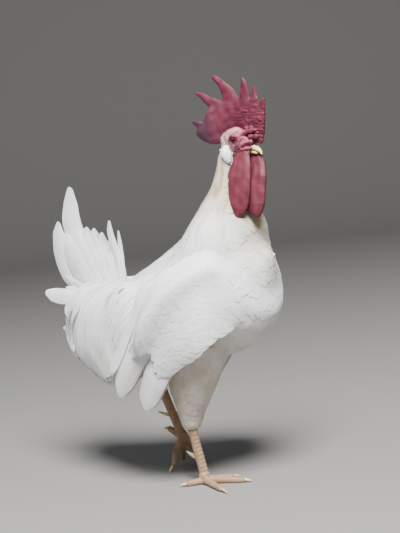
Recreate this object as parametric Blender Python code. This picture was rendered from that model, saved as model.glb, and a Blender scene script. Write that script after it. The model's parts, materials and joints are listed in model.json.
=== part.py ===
"""A life-size standing cock of the white Leghorn kind, as a still museum model.

Run it with: blender --background --python part.py, or from Blender's text editor.
The bird faces +X, its left side is +Y and +Z is up. Sizes below are in millimetres and
are turned to metres where meshes are made. Soft forms are lofted in overlapping lengths,
fused into one smooth whole, and then parted by thin cuts into the pieces a person would name.
"""

import math

import bmesh
import bpy
import numpy as np
from mathutils import Matrix, Vector
from mathutils.bvhtree import BVHTree

MM = 0.001
GAP = 0.4  # clear space between neighbouring pieces

# Driving dimensions of the bird
NECK_YAW = math.radians(-10)  # the head turns a little to the bird's right
HEAD_AT = (107, -3, 426)  # midway between the eyes
EYE_RADIUS = 6.6
EYE_SPREAD = 11.5  # from the head's middle plane to each eyeball's centre
TO_ORIGIN = (38, 0, 0)  # puts the origin under the middle of the bird's bounding box
RIGHT, LEFT = -1, 1
SIDES = {"right": RIGHT, "left": LEFT}


# ---------------------------------------------------------------- shared tools


def spline(rows, count):
    """count rows read evenly from a smooth curve through the given rows, of any width."""
    rows = np.array(rows, float)
    padded = np.vstack([2 * rows[0] - rows[1], rows, 2 * rows[-1] - rows[-2]])
    found = []
    for t in np.linspace(0, len(rows) - 1, count):
        i = min(int(t), len(rows) - 2)
        f = t - i
        a, b, c, d = padded[i : i + 4]
        curve = 2 * b + (c - a) * f + (2 * a - 5 * b + 4 * c - d) * f**2
        found.append((curve + (3 * b - a - 3 * c + d) * f**3) / 2)
    return np.array(found)


def new_object(name, mesh):
    made = bpy.data.objects.new(name, mesh)
    bpy.context.scene.collection.objects.link(made)
    return made


def mesh_from(name, verts, faces):
    """A mesh in metres from points in millimetres, its faces turned outwards."""
    mesh = bpy.data.meshes.new(name)
    mesh.from_pydata([tuple(float(x) * MM for x in v) for v in verts], [], faces)
    work = bmesh.new()
    work.from_mesh(mesh)
    bmesh.ops.recalc_face_normals(work, faces=work.faces)
    work.to_mesh(mesh)
    work.free()
    return mesh


def loft(name, stations, rings=12, sides=16, dorsal=(0, 0, 1), round_ends=(0.6, 0.6)):
    """A closed form through stations of (x, y, z, half width, half height above, below).

    Each ring stands square to the path, with its upper side towards dorsal. round_ends says
    how far each end bulges past its last ring, as a share of that ring's size."""
    rows = spline(stations, rings)
    rows[:, 3:] = np.maximum(rows[:, 3:], 0.15)
    centres = rows[:, :3]
    tangents = np.gradient(centres, axis=0)
    verts, faces = [], []
    for centre, tangent, (width, above, below) in zip(centres, tangents, rows[:, 3:]):
        along = Vector(tangent).normalized()
        side = along.cross(Vector(dorsal)).normalized()
        upward = side.cross(along).normalized()
        for k in range(sides):
            angle = 2 * math.pi * k / sides
            height = (above if math.sin(angle) > 0 else below) * math.sin(angle)
            verts.append(Vector(centre) + side * width * math.cos(angle) + upward * height)
    for r in range(rings - 1):
        for k in range(sides):
            a, b = r * sides + k, r * sides + (k + 1) % sides
            faces.append((a, b, b + sides, a + sides))
    for end, share, way in ((0, round_ends[0], -1), (rings - 1, round_ends[1], 1)):
        bulge = share * min(rows[end, 3:].mean(), rows[end, 3])
        pole = Vector(centres[end]) + Vector(tangents[end]).normalized() * bulge * way
        verts.append(pole)
        first = end * sides
        for k in range(sides):
            faces.append((first + k, first + (k + 1) % sides, len(verts) - 1))
    return new_object(name, mesh_from(name, verts, faces))


def apply_modifiers(made):
    """Keeps the object's evaluated shape as its own mesh."""
    graph = bpy.context.evaluated_depsgraph_get()
    baked = bpy.data.meshes.new_from_object(made.evaluated_get(graph))
    made.modifiers.clear()
    made.data = baked
    return made


def joined(name, pieces):
    """One object holding the meshes of several, which may overlap."""
    work = bmesh.new()
    for piece in pieces:
        work.from_mesh(piece.data)
        bpy.data.objects.remove(piece)
    mesh = bpy.data.meshes.new(name)
    work.to_mesh(mesh)
    work.free()
    return new_object(name, mesh)


def fused(name, pieces, voxel, triangles, rounds=6):
    """Overlapping forms made into one smooth closed form of about this many triangles."""
    whole = joined(name, pieces)
    remesh = whole.modifiers.new("fuse", "REMESH")
    remesh.mode = "VOXEL"
    remesh.voxel_size = voxel * MM
    soften = whole.modifiers.new("soften", "SMOOTH")
    soften.factor = 0.5
    soften.iterations = rounds
    apply_modifiers(whole)
    thin = whole.modifiers.new("thin", "DECIMATE")
    thin.ratio = min(1.0, triangles / (2 * len(whole.data.polygons)))
    thin.use_collapse_triangulate = True
    return apply_modifiers(whole)


def cleaned(piece):
    """Drops the slivers that a cut leaves."""
    work = bmesh.new()
    work.from_mesh(piece.data)
    bmesh.ops.triangulate(work, faces=work.faces)
    bmesh.ops.dissolve_degenerate(work, edges=work.edges, dist=0.0005 * MM)
    work.to_mesh(piece.data)
    work.free()
    return piece


def boolean(target, cutter, operation):
    """Joins or cuts target by cutter for good, and removes the cutter."""
    step = target.modifiers.new(operation.lower(), "BOOLEAN")
    step.operation = operation
    step.object = cutter
    step.solver = "EXACT"
    step.use_self = True
    apply_modifiers(target)
    bpy.data.objects.remove(cutter)
    return cleaned(target)


def grown_copy(piece, gap=GAP):
    """A copy whose surface stands off by the gap, to cut a neighbour with."""
    work = bmesh.new()
    work.from_mesh(piece.data)
    work.normal_update()
    steps = [v.normal * gap * MM * min(v.calc_shell_factor(), 2.2) for v in work.verts]
    for vertex, step in zip(work.verts, steps):
        vertex.co += step
    mesh = bpy.data.meshes.new(piece.name + "_cutter")
    work.to_mesh(mesh)
    work.free()
    return new_object(mesh.name, mesh)


def islands(piece):
    """The connected bodies of a mesh, largest first, as new meshes."""
    work = bmesh.new()
    work.from_mesh(piece.data)
    left, groups = set(work.verts), []
    while left:
        seed = left.pop()
        group, edge = {seed}, [seed]
        while edge:
            for link in edge.pop().link_edges:
                for vertex in link.verts:
                    if vertex in left:
                        left.remove(vertex)
                        group.add(vertex)
                        edge.append(vertex)
        groups.append(group)
    made = []
    for group in groups:
        part = work.copy()
        keep = {v.index for v in group}
        part.verts.ensure_lookup_table()
        bmesh.ops.delete(
            part, geom=[v for v in part.verts if v.index not in keep], context="VERTS"
        )
        made.append((abs(part.calc_volume()), part))
    work.free()
    found = []
    for _, part in sorted(made, key=lambda item: -item[0]):
        mesh = bpy.data.meshes.new(piece.name)
        part.to_mesh(mesh)
        part.free()
        found.append(mesh)
    return found


def clear_of(piece, *neighbours):
    """Cuts the piece back from its neighbours by the gap, and keeps its largest body."""
    for neighbour in neighbours:
        boolean(piece, grown_copy(neighbour), "DIFFERENCE")
    piece.data = islands(piece)[0]
    return piece


def blade(point, normal, reach):
    """A thin square plate through a point, for parting a fused form."""
    bpy.ops.mesh.primitive_cube_add(size=1)
    cutter = bpy.context.active_object
    turn = Vector(normal).to_track_quat("Z", "Y").to_matrix().to_4x4()
    size = Matrix.Diagonal((2 * reach * MM, 2 * reach * MM, GAP * MM, 1))
    cutter.data.transform(Matrix.Translation(Vector(point) * MM) @ turn @ size)
    return cutter


def parted(whole, cuts, seeds):
    """Parts a fused form by thin cuts, and names each body by the seed point in or nearest it."""
    for point, normal, reach in cuts:
        boolean(whole, blade(point, normal, reach), "DIFFERENCE")
    bodies = islands(whole)[: len(seeds)]
    bpy.data.objects.remove(whole)
    trees = []
    for mesh in bodies:
        corners = [v.co.copy() for v in mesh.vertices]
        trees.append(BVHTree.FromPolygons(corners, [tuple(p.vertices) for p in mesh.polygons]))
    made = {}
    free = list(range(len(bodies)))
    for name, seed in seeds.items():
        at = Vector(seed) * MM
        best = min(free, key=lambda i: trees[i].find_nearest(at)[3])
        free.remove(best)
        made[name] = new_object(name, bodies[best])
    return made


def floor_cut(piece):
    """Gives the piece a flat sole at floor level."""
    bpy.ops.mesh.primitive_cube_add(size=1)
    cutter = bpy.context.active_object
    cutter.data.transform(Matrix.Translation((0, 0, -0.05)) @ Matrix.Diagonal((1, 1, 0.1, 1)))
    return boolean(piece, cutter, "DIFFERENCE")


def in_head(forward, left, up):
    """A point given from the middle of the head, turned with the head."""
    turn = Matrix.Rotation(NECK_YAW, 3, "Z")
    return tuple(Vector(HEAD_AT) + turn @ Vector((forward, left, up)))


def head_rows(rows):
    """Loft stations whose places are given from the middle of the head."""
    return [(*in_head(*row[:3]), *row[3:]) for row in rows]


# ---------------------------------------------------------------- trunk, neck and head


def body_forms():
    """The overlapping forms of the trunk, neck and head, coat included."""
    trunk = [
        (-172, 0, 222, 22, 16, 20),
        (-146, 0, 216, 40, 26, 34),
        (-100, 0, 212, 60, 38, 56),
        (-54, 0, 216, 69, 54, 66),
        (-10, 0, 224, 74, 66, 72),
        (34, 0, 236, 77, 77, 82),
        (74, 0, 254, 68, 78, 78),
        (100, 0, 272, 56, 56, 57),
        (117, 0, 279, 32, 32, 34),
    ]
    neck = [
        (44, 0, 268, 66, 50, 60),
        (67, 0, 306, 63, 44, 57),
        (78, 0, 338, 48, 36, 38),
        (86, -1, 366, 30, 26, 20),
        (90, -2, 392, 21, 21, 15),
        (94, -3, 412, 17, 18, 14),
    ]
    skull = [
        (-25, 0, -2, 11, 10, 12),
        (-14, 0, 0, 16, 15, 17),
        (0, 0, 0, 16.5, 16, 17),
        (12, 0, -4, 12.5, 12, 13.5),
        (20, 0, -7, 8, 8, 8.5),
    ]
    return [
        loft("trunk_form", trunk, 18, 24),
        loft("neck_form", neck, 16, 24, dorsal=(-1, 0, 0)),
        loft("skull_form", head_rows(skull), 10, 20),
    ]


def make_body():
    whole = fused("body", body_forms(), 3.2, 1050, 18)
    cuts = [
        ((62, 0, 318), (0.35, 0, 1), 130),
        (in_head(-10, 0, -16), (0.35, 0, 1), 40),
    ]
    seeds = {"trunk": (-20, 0, 230), "neck": (84, 0, 360), "head": HEAD_AT}
    return parted(whole, cuts, seeds)


def make_thighs(trunk):
    """The feathered thighs, each cut back from the trunk that it hangs from."""
    right = [
        (36, -40, 190, 36, 50, 46),
        (26, -38, 150, 31, 44, 38),
        (18, -36, 118, 24, 30, 27),
        (12, -35, 90, 16, 18, 17),
        (12, -35, 73, 11, 13, 12),
    ]
    left = [
        (0, 44, 200, 34, 46, 44),
        (-34, 38, 176, 29, 36, 36),
        (-64, 30, 154, 20, 24, 24),
        (-84, 26, 134, 11, 13, 13),
    ]
    made = {}
    for name, rows, dorsal in (
        ("thigh_right", right, (-1, 0, 0)),
        ("thigh_left", left, (0, 0, 1)),
    ):
        made[name] = clear_of(loft(name, rows, 8, 12, dorsal=dorsal), trunk)
    return made


# ---------------------------------------------------------------- comb, face and beak


def make_comb(head, face):
    """A single upright comb of spikes on one blade, its rear lobe lopping to the right."""
    base = [
        (39.5, 0, 16, 2.6, 26, 25),
        (29, 0, 18.5, 4.2, 27, 24),
        (14, 0, 24, 4.8, 25, 17),
        (-6, 0, 29, 4.6, 24, 17),
        (-24, -5, 25, 4.2, 23, 22),
        (-36, -11, 16, 3.8, 19, 21),
        (-48, -14, 15, 3.4, 16, 13),
        (-56, -16, 18, 2.6, 8, 7),
    ]
    spikes = {
        "front": [(37, 0, 34, 2.8, 7, 7), (41, 0, 41, 2.2, 4, 4), (44, 0, 47, 1.4, 2, 2)],
        "second": [(27, 0, 36, 3.2, 8, 8), (29, 0, 50, 2.6, 5.5, 5.5), (29.5, 0, 62, 1.4, 2, 2)],
        "third": [
            (13, 0, 40, 3.4, 9, 9),
            (13.5, 0, 56, 2.8, 7.5, 7),
            (13.5, 0, 66, 2.3, 5.5, 5),
            (12.5, 0, 75, 1.4, 2, 2),
        ],
        "fourth": [
            (-9, 0, 40, 3.6, 15, 13),
            (-12, -1, 56, 3, 11, 10),
            (-20, -2, 68, 2.6, 7, 6.5),
            (-28, -2, 75, 2.2, 5, 4.5),
            (-35, -2, 81, 1.5, 2.5, 2.5),
        ],
        "fifth": [
            (-24, -5, 38, 3.4, 12, 11),
            (-36, -7, 48, 2.8, 8, 7),
            (-48, -8, 56, 2.2, 5, 4.5),
            (-61, -9, 64, 1.4, 2, 2),
        ],
        "rear": [
            (-48, -14, 20, 3, 8, 8),
            (-57, -16, 25, 2.2, 4.5, 4.5),
            (-64, -17, 28.5, 1.3, 1.8, 1.8),
        ],
    }
    forms = [loft("comb_base", head_rows(base), 20, 14)]
    for label, rows in spikes.items():
        forms.append(loft("comb_" + label, head_rows(rows), 8, 10, dorsal=(1, 0, 0.2)))
    comb = fused("comb", forms, 1.3, 560, 3)
    return clear_of(comb, head, *face.values())


def make_face(head, neck):
    """Eyes, ear lobes, wattles and beak, each set against the head."""
    made = {}
    beak_upper = [
        (10, 0, -8, 7.5, 5, 5),
        (17, 0, -9.5, 6.4, 5, 4),
        (24, 0, -12.5, 4.4, 4, 3),
        (29.5, 0, -16, 2.2, 2.4, 1.9),
        (31.5, 0, -20, 1, 1, 1),
    ]
    beak_lower = [
        (9, 0, -14.5, 6.2, 2.6, 3.2),
        (18, 0, -15.6, 4.8, 2.4, 2.8),
        (25, 0, -18, 2.2, 1.7, 1.6),
    ]
    upper = loft("beak_upper", head_rows(beak_upper), 8, 10)
    made["beak_upper"] = clear_of(upper, head)
    lower = loft("beak_lower", head_rows(beak_lower), 6, 10)
    made["beak_lower"] = clear_of(lower, head, made["beak_upper"])
    for side, way in SIDES.items():
        bpy.ops.mesh.primitive_uv_sphere_add(segments=11, ring_count=7, radius=EYE_RADIUS * MM)
        eye = bpy.context.active_object
        eye.name = "eye_" + side
        eye.data.transform(Matrix.Translation(Vector(in_head(2, EYE_SPREAD * way, 0)) * MM))
        made["eye_" + side] = eye
        boolean(head, grown_copy(eye), "DIFFERENCE")
        lobe = [
            (-9, 17.5 * way, -6, 2.2, 3, 3),
            (-10, 19.5 * way, -12, 3.8, 7, 7),
            (-7.5, 19.5 * way, -20, 3.4, 7, 6.5),
            (-5, 18.5 * way, -26, 2, 3, 3),
        ]
        rows = head_rows(lobe)
        made["ear_lobe_" + side] = clear_of(
            loft("ear_lobe_" + side, rows, 5, 7, dorsal=(1, 0, 0)), head, neck
        )
    wattles = {
        "wattle_right": [
            (9, -9, -15, 3, 10, 11),
            (8, -13, -28, 4.4, 15, 16),
            (7, -18, -48, 5.4, 17.5, 17.5),
            (4, -21, -72, 6, 17, 17),
            (2.5, -22, -85, 5.4, 14, 14),
            (2.5, -22, -93, 4, 6, 6),
        ],
        "wattle_left": [
            (16, 4, -17, 3.2, 9, 10),
            (19, 1, -30, 4.6, 14, 17),
            (23, -4, -50, 5.6, 13.5, 17),
            (22, -8, -76, 6.2, 12.5, 16),
            (21, -9, -86, 5.6, 10, 13),
            (20, -9, -93, 4, 6, 6),
        ],
    }
    for name, rows in wattles.items():
        wattle = loft(name, head_rows(rows), 9, 10, dorsal=(1, 0, 0))
        made[name] = clear_of(wattle, head, neck, *made.values())
    return made


# ---------------------------------------------------------------- wings and tail


def make_wings(trunk, thighs):
    """Each folded wing: a shoulder and coverts, the secondaries, and the primaries below them."""
    made = {}
    for side, way in SIDES.items():
        shoulder = [
            (88, 56 * way, 270, 12, 22, 26),
            (66, 69 * way, 252, 16, 34, 40),
            (36, 78 * way, 224, 16, 38, 42),
            (10, 81 * way, 195, 14, 34, 36),
            (-8, 81 * way, 172, 10, 24, 24),
        ]
        secondaries = [
            (-4, 80 * way, 204, 8, 26, 26),
            (-30, 79 * way, 176, 8, 26, 24),
            (-56, 77 * way, 142, 6, 19, 18),
            (-74, 73 * way, 110, 3, 8, 8),
        ]
        primaries = [
            (20, 80 * way, 178, 8, 24, 24),
            (-2, 80 * way, 148, 7, 22, 22),
            (-19, 78 * way, 119, 5, 15, 15),
            (-28, 75.5 * way, 99, 2.4, 6, 6),
        ]
        up = (0.4, 0.3 * way, 1)
        wing = fused("wing_" + side, [loft("w", shoulder, 14, 18, dorsal=up)], 2.4, 210)
        made["wing_" + side] = clear_of(wing, trunk, *thighs.values())
        rear = fused("secondaries_" + side, [loft("s", secondaries, 12, 16, dorsal=up)], 1.8, 130)
        made["secondaries_" + side] = clear_of(
            rear, made["wing_" + side], trunk, *thighs.values()
        )
        tips = fused("primaries_" + side, [loft("p", primaries, 12, 16, dorsal=up)], 1.6, 120)
        made["primaries_" + side] = clear_of(
            tips, made["wing_" + side], made["secondaries_" + side], trunk, *thighs.values()
        )
    return made


def make_rear(trunk, wings):
    """The saddle's hackles draped over each flank, the tail fan and the larger tail feathers."""
    made = {}
    for side, way in SIDES.items():
        drape = [
            (-66, 36 * way, 250, 8, 24, 26),
            (-94, 50 * way, 228, 12, 78, 42),
            (-106, 54 * way, 200, 12, 80, 46),
            (-98, 59 * way, 168, 9, 52, 38),
            (-86, 63 * way, 138, 5, 17, 18),
        ]
        name = "saddle_" + side
        form = fused(name, [loft("d", drape, 14, 16, dorsal=(-1, -0.36 * way, 0))], 2, 130)
        made[name] = clear_of(form, trunk, *wings)
    fan = [
        (-118, 0, 226, 14, 36, 20),
        (-132, 0, 252, 18, 42, 26),
        (-150, 0, 282, 15, 48, 38),
        (-154, 0, 312, 9, 46, 40),
        (-152, 0, 332, 5, 26, 28),
    ]
    tail = fused("tail_fan", [loft("fan", fan, 12, 16, dorsal=(-1, 0, 0.2))], 2, 165)
    made["tail_fan"] = clear_of(tail, trunk, made["saddle_right"], made["saddle_left"])
    feathers = {
        "sickle_right": [
            (-150, -7, 300, 2.4, 12, 12),
            (-164, -7, 330, 2.2, 14, 13),
            (-173, -6, 358, 1.8, 13, 12),
            (-174, -5, 380, 1.2, 6, 7),
        ],
        "sickle_left": [
            (-156, 8, 300, 2.4, 12, 12),
            (-170, 9, 326, 2.2, 14, 13),
            (-178, 9, 350, 1.8, 12, 12),
            (-181, 8, 368, 1.2, 5, 6),
        ],
        "covert_rear_right": [
            (-168, -9, 264, 2.2, 12, 10),
            (-186, -10, 292, 2.4, 16, 12),
            (-196, -10, 320, 2.2, 15, 13),
            (-199, -9, 342, 1.4, 7, 7),
        ],
        "covert_rear_left": [
            (-166, 10, 262, 2.2, 12, 10),
            (-186, 11, 286, 2.4, 15, 12),
            (-196, 12, 310, 2.2, 14, 12),
            (-199, 11, 328, 1.4, 6, 6),
        ],
        "covert_side": [
            (-166, -20, 246, 2, 8, 8),
            (-188, -19, 246, 2.4, 9, 9),
            (-210, -16, 243, 2.2, 9, 9),
            (-225, -14, 241, 1.4, 5, 5),
        ],
        "covert_upright": [
            (-126, -8, 268, 1.6, 5, 5),
            (-124, -8, 300, 1.6, 5, 5),
            (-121, -8, 330, 1.2, 3, 3),
        ],
        "covert_front": [
            (-104, -4, 256, 1.6, 5, 5),
            (-101, -4, 290, 1.6, 5, 5),
            (-101, -4, 324, 1.2, 3, 3),
        ],
    }
    for name, rows in feathers.items():
        across = (0, 0, 1) if name == "covert_side" else (-1, 0, 0.3)
        feather = loft(name, rows, 6, 7, dorsal=across)
        made[name] = clear_of(feather, trunk, *made.values())
    return made


# ---------------------------------------------------------------- legs and feet


SHANKS = {
    "right": [
        (10, -38, 104, 7, 8, 8),
        (11, -37, 84, 5.6, 7, 7),
        (15, -36, 52, 5, 6.4, 6.4),
        (20, -35.4, 26, 5.2, 6.4, 6.4),
        (23, -35, 10, 5.4, 6.2, 6.2),
    ],
    "left": [
        (-84, 26, 130, 7, 8, 8),
        (-77, 26, 112, 5.6, 7, 7),
        (-66, 25.4, 84, 5, 6.4, 6.4),
        (-55, 25, 58, 5.2, 6.4, 6.4),
        (-50, 25, 46, 5.4, 6.2, 6.2),
    ],
}
# Each toe: the joint it starts from, its knuckle and the root and tip of its claw.
TOES = {
    "right": {
        "middle": [(26, -34, 5), (48, -27.5, 3.9), (70, -20.5, 3.4), (81, -17, 1.4)],
        "outer": [(26, -38, 5), (46, -51, 3.9), (67, -65, 3.4), (79, -72, 1.4)],
        "inner": [(25, -32, 5), (36, -20, 3.9), (46, -8, 3.4), (53, 0.5, 1.4)],
        "hind": [(21, -39, 5), (15, -46, 3.9), (8, -53, 3.2), (1, -59, 1.4)],
    },
    "left": {
        "middle": [(-49, 26, 42), (-57, 32, 26), (-60, 36, 11), (-64, 38, 0.2)],
        "outer": [(-47, 28, 42), (-46, 40, 28), (-44, 48, 16), (-48, 52, 7)],
        "inner": [(-49, 21, 42), (-54, 12, 26), (-53, 4, 11), (-59, 0, 0.2)],
        "hind": [(-54, 25, 46), (-62, 25, 50), (-70, 25, 54), (-78, 24, 53)],
    },
}


def toe_rows(points, claw):
    """Stations along a toe's flesh or along its claw."""
    joint, knuckle, root, tip = (Vector(point) for point in points)
    if claw:
        inside = root + (root - tip) * 0.15
        bend = root.lerp(tip, 0.55) + Vector((0, 0, 0.9))
        return [(*inside, 2.4, 2.6, 2.6), (*bend, 1.8, 2, 2), (*tip, 0.9, 1, 1)]
    swell = root + (root - knuckle) * 0.06
    return [
        (*joint, 4.8, 4.8, 5.8),
        (*joint.lerp(knuckle, 0.55), 4.1, 4.4, 5.2),
        (*knuckle, 4.5, 4.6, 5),
        (*knuckle.lerp(root, 0.6), 3.8, 3.9, 4.6),
        (*swell, 3.5, 3.5, 4.3),
    ]


def make_legs(thighs):
    """Scaly shanks, four toes each, claws and spurs. The left foot is lifted in mid stride."""
    made = {}
    spurs = {
        "right": [(14, -36, 34, 3.4, 3.4, 3.4), (3, -31, 35, 2.6, 2.6, 2.6), (-8, -26, 38, 1, 1, 1)],
        "left": [(-60, 25, 72, 3.2, 3.2, 3.2), (-70, 21, 74, 2.4, 2.4, 2.4), (-79, 17, 78, 1, 1, 1)],
    }
    for side in SIDES:
        shank = loft("shank_" + side, SHANKS[side], 8, 10, dorsal=(-1, 0, 0))
        forms = []
        for toe, points in TOES[side].items():
            forms.append(loft(toe, toe_rows(points, False), 8, 10, dorsal=(0, 0.3, 1)))
        joint = SHANKS[side][-1][:3]
        bpy.ops.mesh.primitive_uv_sphere_add(segments=14, ring_count=9, radius=7.6 * MM)
        bpy.context.active_object.data.transform(Matrix.Translation(Vector(joint) * MM))
        forms.append(bpy.context.active_object)
        foot = fused("foot_" + side, forms, 1.2, 340, 2)
        foot = floor_cut(foot)
        made["foot_" + side] = foot
        made["shank_" + side] = clear_of(shank, thighs["thigh_" + side], foot)
        for toe, points in TOES[side].items():
            name = f"claw_{toe}_{side}"
            claw = loft(name, toe_rows(points, True), 4, 7, dorsal=(0, 0.3, 1))
            made[name] = clear_of(floor_cut(claw), foot)
        spur = loft("spur_" + side, spurs[side], 4, 7)
        made["spur_" + side] = clear_of(spur, made["shank_" + side])
    return made


# ---------------------------------------------------------------- the whole bird


SURFACES = {
    "comb": ("#8E2A3A", 0.55),
    "wattle": ("#A03344", 0.5),
    "head": ("#B5606A", 0.6),
    "ear_lobe": ("#E6E2DE", 0.55),
    "eye": ("#B0522A", 0.12),
    "beak": ("#D9BE84", 0.4),
    "claw": ("#C9B48C", 0.4),
    "spur": ("#D6C39B", 0.45),
    "shank": ("#D2B07C", 0.6),
    "foot": ("#D2B07C", 0.6),
}
PLUMAGE = ("#EDEAE3", 0.8)


def linear(code):
    """A linear colour from its sRGB hex code."""
    parts = [int(code[i : i + 2], 16) / 255 for i in (1, 3, 5)]
    return [c / 12.92 if c <= 0.04045 else ((c + 0.055) / 1.055) ** 2.4 for c in parts] + [1]


def dress(piece):
    """Gives the piece its own material."""
    kinds = [kind for kind in SURFACES if piece.name.startswith(kind)]
    colour, roughness = SURFACES[kinds[0]] if kinds else PLUMAGE
    material = bpy.data.materials.new(piece.name)
    material.use_nodes = True
    shader = material.node_tree.nodes["Principled BSDF"]
    shader.inputs["Base Color"].default_value = linear(colour)
    shader.inputs["Roughness"].default_value = roughness
    piece.data.materials.clear()
    piece.data.materials.append(material)


def clear_scene():
    for old in list(bpy.data.objects):
        bpy.data.objects.remove(old)


def main():
    clear_scene()
    parts = make_body()
    thighs = make_thighs(parts["trunk"])
    face = make_face(parts["head"], parts["neck"])
    make_comb(parts["head"], face)
    wings = make_wings(parts["trunk"], thighs)
    make_rear(parts["trunk"], wings.values())
    make_legs(thighs)
    for piece in bpy.context.scene.objects:
        piece.data.transform(Matrix.Translation(Vector(TO_ORIGIN) * MM))
        dress(piece)


main()
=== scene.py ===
"""The looks of a life-size white cock: skin, plumage, face, legs and a plain studio.

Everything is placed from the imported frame, in metres: +X is where the bird faces, +Y its left
side and +Z up. Numbers given to at(), in_head() and the tables of places are in millimetres.
"""

import json
import math

import bmesh
import bpy
import numpy as np
from bpy.props import FloatProperty, FloatVectorProperty, PointerProperty
from bpy.types import Operator, Panel, PropertyGroup
from mathutils import Matrix, Vector
from mathutils.bvhtree import BVHTree

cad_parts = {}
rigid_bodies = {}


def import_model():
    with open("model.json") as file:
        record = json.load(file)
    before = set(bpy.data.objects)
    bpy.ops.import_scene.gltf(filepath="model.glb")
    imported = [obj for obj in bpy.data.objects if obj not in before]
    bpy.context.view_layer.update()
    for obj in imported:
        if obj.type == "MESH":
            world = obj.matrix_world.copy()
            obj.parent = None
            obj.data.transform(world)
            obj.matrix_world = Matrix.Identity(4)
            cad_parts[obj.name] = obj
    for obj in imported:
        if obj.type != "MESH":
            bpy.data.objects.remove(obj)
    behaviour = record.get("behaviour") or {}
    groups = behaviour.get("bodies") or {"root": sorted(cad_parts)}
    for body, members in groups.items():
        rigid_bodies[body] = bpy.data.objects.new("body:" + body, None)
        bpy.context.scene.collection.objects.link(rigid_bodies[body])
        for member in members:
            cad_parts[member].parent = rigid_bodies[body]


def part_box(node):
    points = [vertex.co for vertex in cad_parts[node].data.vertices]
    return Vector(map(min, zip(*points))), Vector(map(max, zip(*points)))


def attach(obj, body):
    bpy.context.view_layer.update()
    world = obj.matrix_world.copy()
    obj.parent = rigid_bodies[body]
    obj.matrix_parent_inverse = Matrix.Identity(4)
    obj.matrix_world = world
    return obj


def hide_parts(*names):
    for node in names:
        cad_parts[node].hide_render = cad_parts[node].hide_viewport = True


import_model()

bl_info = {
    "name": "White Cock",
    "version": (1, 0, 0),
    "blender": (4, 5, 0),
    "location": "3D View > Sidebar > Cock",
    "description": "Builds the skin, plumage, face and legs of a life-size white cock",
    "category": "Object",
}
MM = 0.001
SIDES = {"right": -1, "left": 1}
UP = Vector((0, 0, 1))
VIEW_AZIMUTH = math.radians(35)
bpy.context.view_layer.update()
BAKE_PATCH = 0.003  # the width of each feather on the baked map
FLIGHT_FEATHER = 130  # the length in mm of the long feathers of wing and tail
WORK = {}  # forms that one operator makes and later ones lay feathers on


# ------------------------------------------------------------------ places read from the frame


def pairs(*parts):
    """The names of the right and left nodes of these parts."""
    return [f"{part}_{side}" for part in parts for side in SIDES]


def centre(node):
    low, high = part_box(node)
    return (Vector(low) + Vector(high)) / 2


EYES = {side: centre("eye_" + side) for side in SIDES}
HEAD = (EYES["left"] + EYES["right"]) / 2
HEAD_LEFT = (EYES["left"] - EYES["right"]).normalized()
HEAD_AHEAD = HEAD_LEFT.cross(UP).normalized()
HEAD_TURN = Matrix((HEAD_AHEAD, HEAD_LEFT, UP)).transposed()
EYE_AHEAD = 2  # the eyes stand this far ahead of the middle of the head
# The zero that places on the body are counted from lies under the middle of the head.
BODY = HEAD - HEAD_TURN @ Vector((EYE_AHEAD, 0, 0)) * MM - Vector((107, -3, 426)) * MM


def at(x, y, z):
    """A point of the body given in millimetres."""
    return BODY + Vector((x, y, z)) * MM


def in_head(ahead, left, up):
    """A point given in millimetres from the middle of the head, turned with the head."""
    return HEAD + HEAD_TURN @ Vector((ahead - EYE_AHEAD, left, up)) * MM


def body_mm(points):
    return (points - np.array(BODY)) / MM


def to_metres(points_mm):
    return points_mm * MM + np.array(BODY)


def head_mm(points):
    return (points - np.array(HEAD)) @ np.array(HEAD_TURN) / MM + np.array((EYE_AHEAD, 0, 0))


# ------------------------------------------------------------------ small shared tools


def linear(code):
    """A linear colour from its sRGB hex code."""
    parts = [int(code[i : i + 2], 16) / 255 for i in (1, 3, 5)]
    return (*[c / 12.92 if c <= 0.04045 else ((c + 0.055) / 1.055) ** 2.4 for c in parts], 1.0)


def unit(rows):
    """Rows of vectors scaled to length one."""
    return rows / np.maximum(np.linalg.norm(rows, axis=-1, keepdims=True), 1e-12)


def flattened(rows, normals):
    """Directions turned into the planes that have these normals."""
    return unit(rows - (rows * normals).sum(axis=-1, keepdims=True) * normals)


def smoothstep(low, high, value):
    t = np.clip((value - low) / (high - low), 0, 1)
    return t * t * (3 - 2 * t)


def spline(rows, count):
    """count rows read evenly from a smooth curve through the given rows."""
    rows = np.array(rows, float)
    padded = np.vstack([2 * rows[0] - rows[1], rows, 2 * rows[-1] - rows[-2]])
    t = np.linspace(0, len(rows) - 1, count)
    i = np.minimum(t.astype(int), len(rows) - 2)
    f = (t - i)[:, None]
    a, b, c, d = (padded[i + k] for k in range(4))
    curve = 2 * b + (c - a) * f + (2 * a - 5 * b + 4 * c - d) * f**2
    return (curve + (3 * b - a - 3 * c + d) * f**3) / 2


def resampled(values, count):
    """count values read evenly along the given ones."""
    return np.interp(np.linspace(0, 1, count), np.linspace(0, 1, len(values)), values)


def waves(points_mm, size_mm, seed=0):
    """Smooth noise of about -1 to 1 whose features have about this size, from summed waves."""
    rng = np.random.default_rng(seed)
    total = np.zeros(len(points_mm))
    for _ in range(16):
        wave = unit(rng.normal(size=3)) * rng.uniform(0.5, 1.4) / size_mm
        total += np.sin(points_mm @ wave * 2 * math.pi + rng.uniform(0, 2 * math.pi))
    return total / 3.6


def read(items, key, wide, kind=np.float32):
    """One property of all items of a mesh, as an array with this many columns."""
    found = np.empty(len(items) * wide, kind)
    items.foreach_get(key, found)
    return found.reshape(-1, wide)


def points_of(mesh):
    return read(mesh.vertices, "co", 3).astype(float)


def normals_of(mesh):
    return read(mesh.vertex_normals, "vector", 3).astype(float)


def triangles_of(mesh):
    mesh.calc_loop_triangles()
    return read(mesh.loop_triangles, "vertices", 3, np.int32)


def tree_of(mesh):
    return BVHTree.FromPolygons(points_of(mesh).tolist(), triangles_of(mesh).tolist())


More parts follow.
